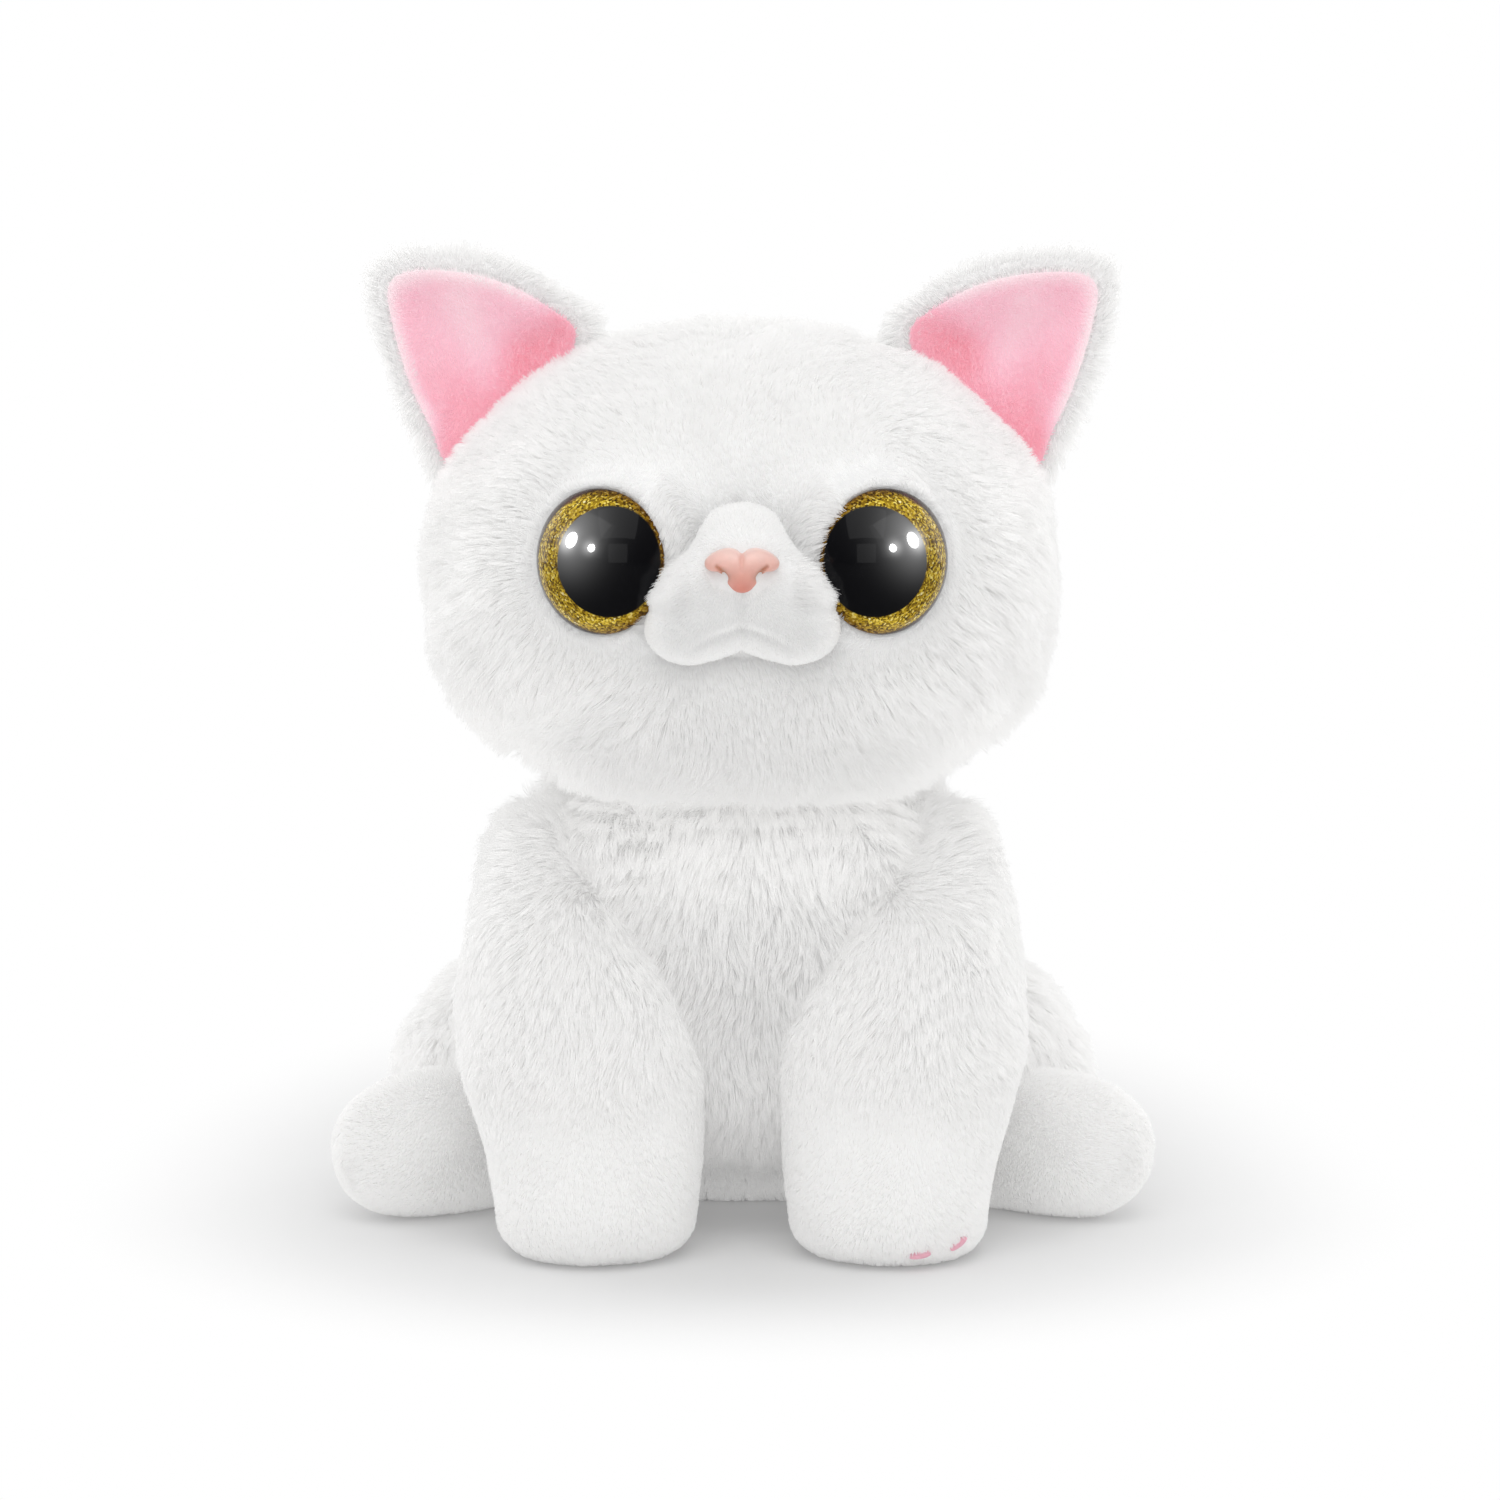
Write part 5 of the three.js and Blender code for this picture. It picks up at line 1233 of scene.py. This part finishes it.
old = b.inputs["Base Color"].links[0].from_socket
weave = nt.nodes.new("ShaderNodeMix")
weave.data_type, weave.blend_type = "RGBA", "MIX"
weave.inputs["Factor"].default_value = 0.12
nt.links.new(pinks, weave.inputs["A"])
nt.links.new(old, weave.inputs["B"])
nt.links.new(weave.outputs["Result"], b.inputs["Base Color"])
# painted glow: the lining emits its own pink
nt.links.new(weave.outputs["Result"], b.inputs["Emission Color"])
# the lining skin's pink with its painted shade
for side in ("left", "right"):
    P, N, T = arrays(ears["lining_" + side])
    add_value(ears["lining_" + side], "tint", lining_pink_and_shade(P))


def lining_tint(P, N):
    return lining_pink_and_shade(P)


for side in ("left", "right"):
    total += pile("ear_lining_pile_" + side, ears["lining_" + side], "ear_" + side, 14.0, lambda P, N: np.c_[np.zeros(len(P)), np.zeros(len(P)), np.ones(len(P))] + wave(P, 6, 80, 3) * 0.3,
                  lambda P, N: np.full(len(P), 1.1), h_pink, 361, keep=lambda P, N: (N[:, 1] < 0.3) & ~inside_pile(P, HEAD, 2.25, -2.0), lean=0.4, clump=0.2, clump_mm=1.0, droop=0.0, frizz=0.2, radius=0.06, tint=lining_tint)


def muzzle_flow(P, N):
    c = np.c_[P[:, 0], np.full(len(P), 0.0), P[:, 2] - 131.0]
    return unit(c) + np.array([0, 0.2, -0.3]) + wave(P, 6, 90, 3) * 0.2


def muzzle_length(P, N):
    ax = np.abs(P[:, 0])
    edge = smooth(ax, 8.0, 12.0) * smooth(P[:, 2], 125, 129) + 0.3 * smooth(P[:, 2], 138.5, 142.5)
    return 0.95 + 2.9 * np.clip(edge, 0, 1)


total += pile("muzzle_pile", muzzle, "head", 17.0, muzzle_flow, muzzle_length, h_short, 371,
              keep=lambda P, N: (P[:, 1] < -52) & ~((np.hypot(P[:, 0] / 7.0, (P[:, 2] - 133.8) / 4.4) < 0.93) & (P[:, 1] < -68)), lean=0.55, clump=0.25, clump_mm=1.0, droop=0.05, frizz=0.14, radius=0.06, shade=muzzle_shade)
total += pile("tail_pile", tail, "tail", 6.0, tail_comb, lambda P, N: np.full(len(P), 5.0), h_white, 381,
              keep=lambda P, N: ~inside_pile(P, TORSO, 2.2, -2.0) & (P[:, 2] > 1.0), lean=0.6, clump=0.6, clump_mm=2.0, droop=0.15, frizz=0.18)
# painted shade on the head, torso and muzzle skins under the pile, from the same rules as their strands
for ob, rule in ((head, head_shade), (torso, torso_shade), (muzzle, muzzle_shade)):
    P, N, T = arrays(ob)
    add_value(ob, "shade", np.clip(rule(P, N), 0, 0.9))
print("strands", total)

# ------------------------------------------------------------------ module and inner parts
def hard(name, lo, hi, rough, metal=0.0, scale=300, bump=0.0001, coat=0.0, line=False):
    m, nt, b = material(name)
    tc = nt.nodes.new("ShaderNodeTexCoord")
    nz = node(nt, "ShaderNodeTexNoise", Scale=scale, Detail=4.0, Roughness=0.6)
    if line:
        mp = nt.nodes.new("ShaderNodeMapping")
        mp.inputs["Scale"].default_value = (1, 14, 14)
        nt.links.new(tc.outputs["Object"], mp.inputs[0])
        nt.links.new(mp.outputs[0], nz.inputs["Vector"])
    else:
        nt.links.new(tc.outputs["Object"], nz.inputs["Vector"])
    nt.links.new(ramp(nt, nz.outputs[0], [(0.25, lo), (0.75, hi)]), b.inputs["Base Color"])
    mr = nt.nodes.new("ShaderNodeMapRange")
    mr.inputs["To Min"].default_value, mr.inputs["To Max"].default_value = rough * 0.8, min(1, rough * 1.2)
    nt.links.new(nz.outputs[0], mr.inputs["Value"])
    nt.links.new(mr.outputs[0], b.inputs["Roughness"])
    b.inputs["Metallic"].default_value = metal
    b.inputs["Coat Weight"].default_value = coat
    bp = nt.nodes.new("ShaderNodeBump")
    bp.inputs["Strength"].default_value, bp.inputs["Distance"].default_value = 0.4, bump
    nt.links.new(nz.outputs[0], bp.inputs["Height"])
    nt.links.new(bp.outputs[0], b.inputs["Normal"])
    return m


finishes = {
    "case": hard("case_plastic", (0.80, 0.79, 0.76), (0.86, 0.85, 0.82), 0.5, scale=2200, bump=0.00004),
    "steel": hard("steel", (0.50, 0.51, 0.53), (0.62, 0.63, 0.65), 0.32, 1.0, 500, line=True),
    "cell": hard("cell_steel", (0.66, 0.66, 0.67), (0.78, 0.78, 0.79), 0.24, 1.0, 400),
    "magnet": hard("magnet", (0.10, 0.10, 0.11), (0.16, 0.16, 0.17), 0.45, 0.6, 600),
    "board": hard("board", (0.02, 0.10, 0.05), (0.03, 0.15, 0.07), 0.45, 0.0, 500, coat=0.3),
    "chip": hard("chip", (0.012, 0.012, 0.012), (0.03, 0.03, 0.03), 0.5, 0.0, 1200),
    "cone": hard("cone_paper", (0.03, 0.03, 0.03), (0.07, 0.065, 0.06), 0.85, 0.0, 1500),
    "black": hard("black_plastic", (0.01, 0.01, 0.01), (0.03, 0.03, 0.03), 0.4, 0.0, 1200),
    "switch": hard("switch_plastic", (0.03, 0.03, 0.03), (0.06, 0.06, 0.06), 0.5, 0.0, 1200),
    "button": hard("button_plastic", (0.55, 0.05, 0.04), (0.66, 0.08, 0.06), 0.4, 0.0, 1200),
    "washer": hard("washer_plastic", (0.74, 0.74, 0.72), (0.84, 0.84, 0.82), 0.5, 0.0, 1500),
    "sheath": hard("cable_sheath", (0.62, 0.62, 0.60), (0.72, 0.72, 0.70), 0.55, 0.0, 1500),
    "red": hard("red_wire", (0.50, 0.03, 0.02), (0.62, 0.05, 0.04), 0.45, 0.0, 1500),
    "blackw": hard("black_wire", (0.01, 0.01, 0.01), (0.03, 0.03, 0.03), 0.45, 0.0, 1500),
    "fill": cloth_material("filling", (0.82, 0.82, 0.80), (0.93, 0.93, 0.92), 260, 0.0012),
}
for nm, ob in nodes.items():
    key = ("fill" if "stuffing" in nm or nm == "neck_core" else "case" if nm.startswith("module_case") or nm == "battery_door" else
           "cell" if nm.startswith("button_cell") else "magnet" if nm == "speaker_magnet" else "board" if nm == "circuit_board" else
           "chip" if nm == "sound_chip" else "cone" if nm == "speaker_cone" else "black" if nm.startswith("eye_post") else
           "washer" if "washer" in nm else "sheath" if nm.startswith("cable") else "red" if nm == "speaker_wire_red" else
           "blackw" if nm == "speaker_wire_black" else "button" if "plunger" in nm else "switch" if "switch" in nm else "steel")
    if ob.hide_render:
        continue
    if not ob.data.materials:
        ob.data.materials.append(finishes[key])
    for i in range(len(ob.data.materials)):
        ob.data.materials[i] = finishes[key]
    for s in ob.material_slots:
        s.material = finishes[key]

# ------------------------------------------------------------------ floor, light and camera
FLOOR_LIFT, SIDE_LEVEL, TOP_GAIN, BACK_GAIN = 0.07, 0.52, 0.20, 0.32


def stage_plane(name, size, z, mat):
    s = size / 2
    ob = mesh_object(name, np.array([[-s, -s, z], [s, -s, z], [s, s, z], [-s, s, z]]), [[0, 1, 2, 3]], smooth=False)
    ob.data.materials.append(mat)
    return ob


m_floor = bpy.data.materials.new("floor")
m_floor.use_nodes = True
nt = m_floor.node_tree
nt.nodes.clear()
tc = nt.nodes.new("ShaderNodeTexCoord")
nz = node(nt, "ShaderNodeTexNoise", Scale=18, Detail=2.0)
nt.links.new(tc.outputs["Object"], nz.inputs["Vector"])
fd = nt.nodes.new("ShaderNodeBsdfDiffuse")
fe = nt.nodes.new("ShaderNodeEmission")
fe.inputs["Color"].default_value = (1, 1, 1, 1)
lp = nt.nodes.new("ShaderNodeLightPath")
fsp = nt.nodes.new("ShaderNodeSeparateXYZ")
nt.links.new(tc.outputs["Object"], fsp.inputs[0])
fback = math_node(nt, "MULTIPLY", math_node(nt, "MAXIMUM", fsp.outputs[1], 0.0), 0.55)
ffront = math_node(nt, "MINIMUM", fsp.outputs[1], 0.0)
fy = math_node(nt, "ADD", fback, ffront)
fr2 = math_node(nt, "ADD", math_node(nt, "MULTIPLY", fsp.outputs[0], fsp.outputs[0]), math_node(nt, "MULTIPLY", fy, fy))
fdist = math_node(nt, "SQRT", fr2)
ftone = nt.nodes.new("ShaderNodeVectorMath")
ftone.operation = "SCALE"
nt.links.new(ramp(nt, nz.outputs[0], [(0.3, (0.94, 0.94, 0.94)), (0.7, (0.96, 0.96, 0.96))]), ftone.inputs[0])
nt.links.new(math_node(nt, "MULTIPLY_ADD", lp.outputs["Is Camera Ray"], -0.26, 1.0), ftone.inputs["Scale"])
nt.links.new(ftone.outputs[0], fd.inputs["Color"])
far = nt.nodes.new("ShaderNodeMapRange")
far.interpolation_type = "SMOOTHSTEP"
far.inputs["From Min"].default_value, far.inputs["From Max"].default_value = 0.06, 0.135
far.inputs["To Min"].default_value, far.inputs["To Max"].default_value = 0.0, 1.0
nt.links.new(fdist, far.inputs["Value"])
lift = math_node(nt, "MULTIPLY", lp.outputs["Is Camera Ray"], FLOOR_LIFT)
nt.links.new(lift, fe.inputs["Strength"])
add = nt.nodes.new("ShaderNodeAddShader")
nt.links.new(fd.outputs[0], add.inputs[0])
nt.links.new(fe.outputs[0], add.inputs[1])
fw = nt.nodes.new("ShaderNodeEmission")
fw.inputs["Color"].default_value = (1, 1, 1, 1)
fm = nt.nodes.new("ShaderNodeMixShader")
nt.links.new(math_node(nt, "MULTIPLY", far.outputs[0], lp.outputs["Is Camera Ray"]), fm.inputs[0])
nt.links.new(add.outputs[0], fm.inputs[1])
nt.links.new(fw.outputs[0], fm.inputs[2])
fdark = nt.nodes.new("ShaderNodeBsdfDiffuse")
fdark.inputs["Color"].default_value = (0.06, 0.06, 0.06, 1)
fg = nt.nodes.new("ShaderNodeMixShader")
nt.links.new(math_node(nt, "MULTIPLY", lp.outputs["Is Glossy Ray"], 0.9), fg.inputs[0])
nt.links.new(fm.outputs[0], fg.inputs[1])
nt.links.new(fdark.outputs[0], fg.inputs[2])
fo = nt.nodes.new("ShaderNodeOutputMaterial")
nt.links.new(fg.outputs[0], fo.inputs[0])
stage_plane("floor", 12.0, 0.0, m_floor)

scene = bpy.context.scene
world = bpy.data.worlds.new("studio")
scene.world = world
world.use_nodes = True
nt = world.node_tree
nt.nodes.clear()
# a white room: brighter overhead than at the sides, plain white where the camera sees it, dim in polished surfaces
tc = nt.nodes.new("ShaderNodeTexCoord")
sp = nt.nodes.new("ShaderNodeSeparateXYZ")
nt.links.new(tc.outputs["Generated"], sp.inputs[0])
up_ = math_node(nt, "MULTIPLY_ADD", sp.outputs[2], TOP_GAIN, SIDE_LEVEL)
back_ = math_node(nt, "MULTIPLY", math_node(nt, "MAXIMUM", sp.outputs[1], 0.0), BACK_GAIN)
lvl = math_node(nt, "ADD", up_, back_)
lp = nt.nodes.new("ShaderNodeLightPath")
b1 = nt.nodes.new("ShaderNodeBackground")
b1.inputs["Color"].default_value = (1, 1, 1, 1)
nt.links.new(lvl, b1.inputs["Strength"])
b2 = nt.nodes.new("ShaderNodeBackground")
b2.inputs["Color"].default_value = (1, 1, 1, 1)
b2.inputs["Strength"].default_value = 1.0
b3 = nt.nodes.new("ShaderNodeBackground")
b3.inputs["Color"].default_value = (1, 1, 1, 1)
gl = math_node(nt, "MULTIPLY", math_node(nt, "POWER", math_node(nt, "MAXIMUM", sp.outputs[2], 0.0), 1.5), 0.35)
nt.links.new(gl, b3.inputs["Strength"])
w1, w2 = nt.nodes.new("ShaderNodeMixShader"), nt.nodes.new("ShaderNodeMixShader")
nt.links.new(lp.outputs["Is Glossy Ray"], w1.inputs[0])
nt.links.new(b1.outputs[0], w1.inputs[1])
nt.links.new(b3.outputs[0], w1.inputs[2])
nt.links.new(lp.outputs["Is Camera Ray"], w2.inputs[0])
nt.links.new(w1.outputs[0], w2.inputs[1])
nt.links.new(b2.outputs[0], w2.inputs[2])
wo = nt.nodes.new("ShaderNodeOutputWorld")
nt.links.new(w2.outputs[0], wo.inputs[0])


def area(name, loc, target, size, power, sy=None, colour=(1, 1, 1)):
    li = bpy.data.lights.new(name, "AREA")
    li.shape = "RECTANGLE"
    li.size, li.size_y = size, sy or size
    li.energy, li.color = power, colour
    ob = bpy.data.objects.new(name, li)
    ob.location = loc
    ob.rotation_mode = "QUATERNION"
    ob.rotation_quaternion = (Vector(target) - Vector(loc)).to_track_quat("-Z", "Y")
    scene.collection.objects.link(ob)
    return ob


area("top_light", (0, -0.65, 1.2), (0, 0, 0.08), 1.1, 5.4)
area("front_light", (0, -1.9, 0.62), (0, 0, 0.09), 0.9, 3.1)
area("left_rim", (0.9, 0.7, 0.35), (0, 0, 0.10), 0.6, 2.2, 0.7)
area("right_rim", (-0.9, 0.7, 0.35), (0, 0, 0.10), 0.6, 2.2, 0.7)
for side, sx in (("left", 1), ("right", -1)):
    only = bpy.data.collections.new("catchlight_" + side)
    only.objects.link(eyes[side])
    c = Vector(eye_frames[side][0]) * MM
    for tag, d, r, p in (("large", (0.889 * sx, -0.225, 0.398), 0.13, 34.0), ("small", (0.59 * sx, -0.733, 0.34), 0.075, 12.0)):
        spot = area("catch_%s_%s" % (tag, side), c + Vector(d).normalized() * 0.8, c, 2 * r, p)
        spot.data.shape = "DISK"
        spot.light_linking.receiver_collection = only
        spot.visible_diffuse = False
    for tag, d, w, h, p in (("low", (0.60 * sx, -0.56, 0.57), 0.8, 0.8, 1.2), ("high", (0.56 * sx, -0.38, 0.74), 0.72, 0.42, 1.6)):
        pane = area("window_%s_%s" % (tag, side), c + Vector(d).normalized() * 0.8, c, w, p, h)
        pane.light_linking.receiver_collection = only
        pane.visible_diffuse = False

cam = bpy.data.cameras.new("camera")
cam.lens, cam.sensor_width = 148.03, 36.0
cam_ob = bpy.data.objects.new("camera", cam)
scene.collection.objects.link(cam_ob)
e = math.radians(8.0)
target = Vector((0.00145, 0, 0.09031))
look = Vector((0, math.cos(e), -math.sin(e)))
cam_ob.location = target - look * 1.2
cam_ob.rotation_mode = "QUATERNION"
cam_ob.rotation_quaternion = look.to_track_quat("-Z", "Y")
scene.camera = cam_ob
scene.view_settings.view_transform = "Standard"
scene.view_settings.look = "None"
scene.view_settings.exposure = 0.0
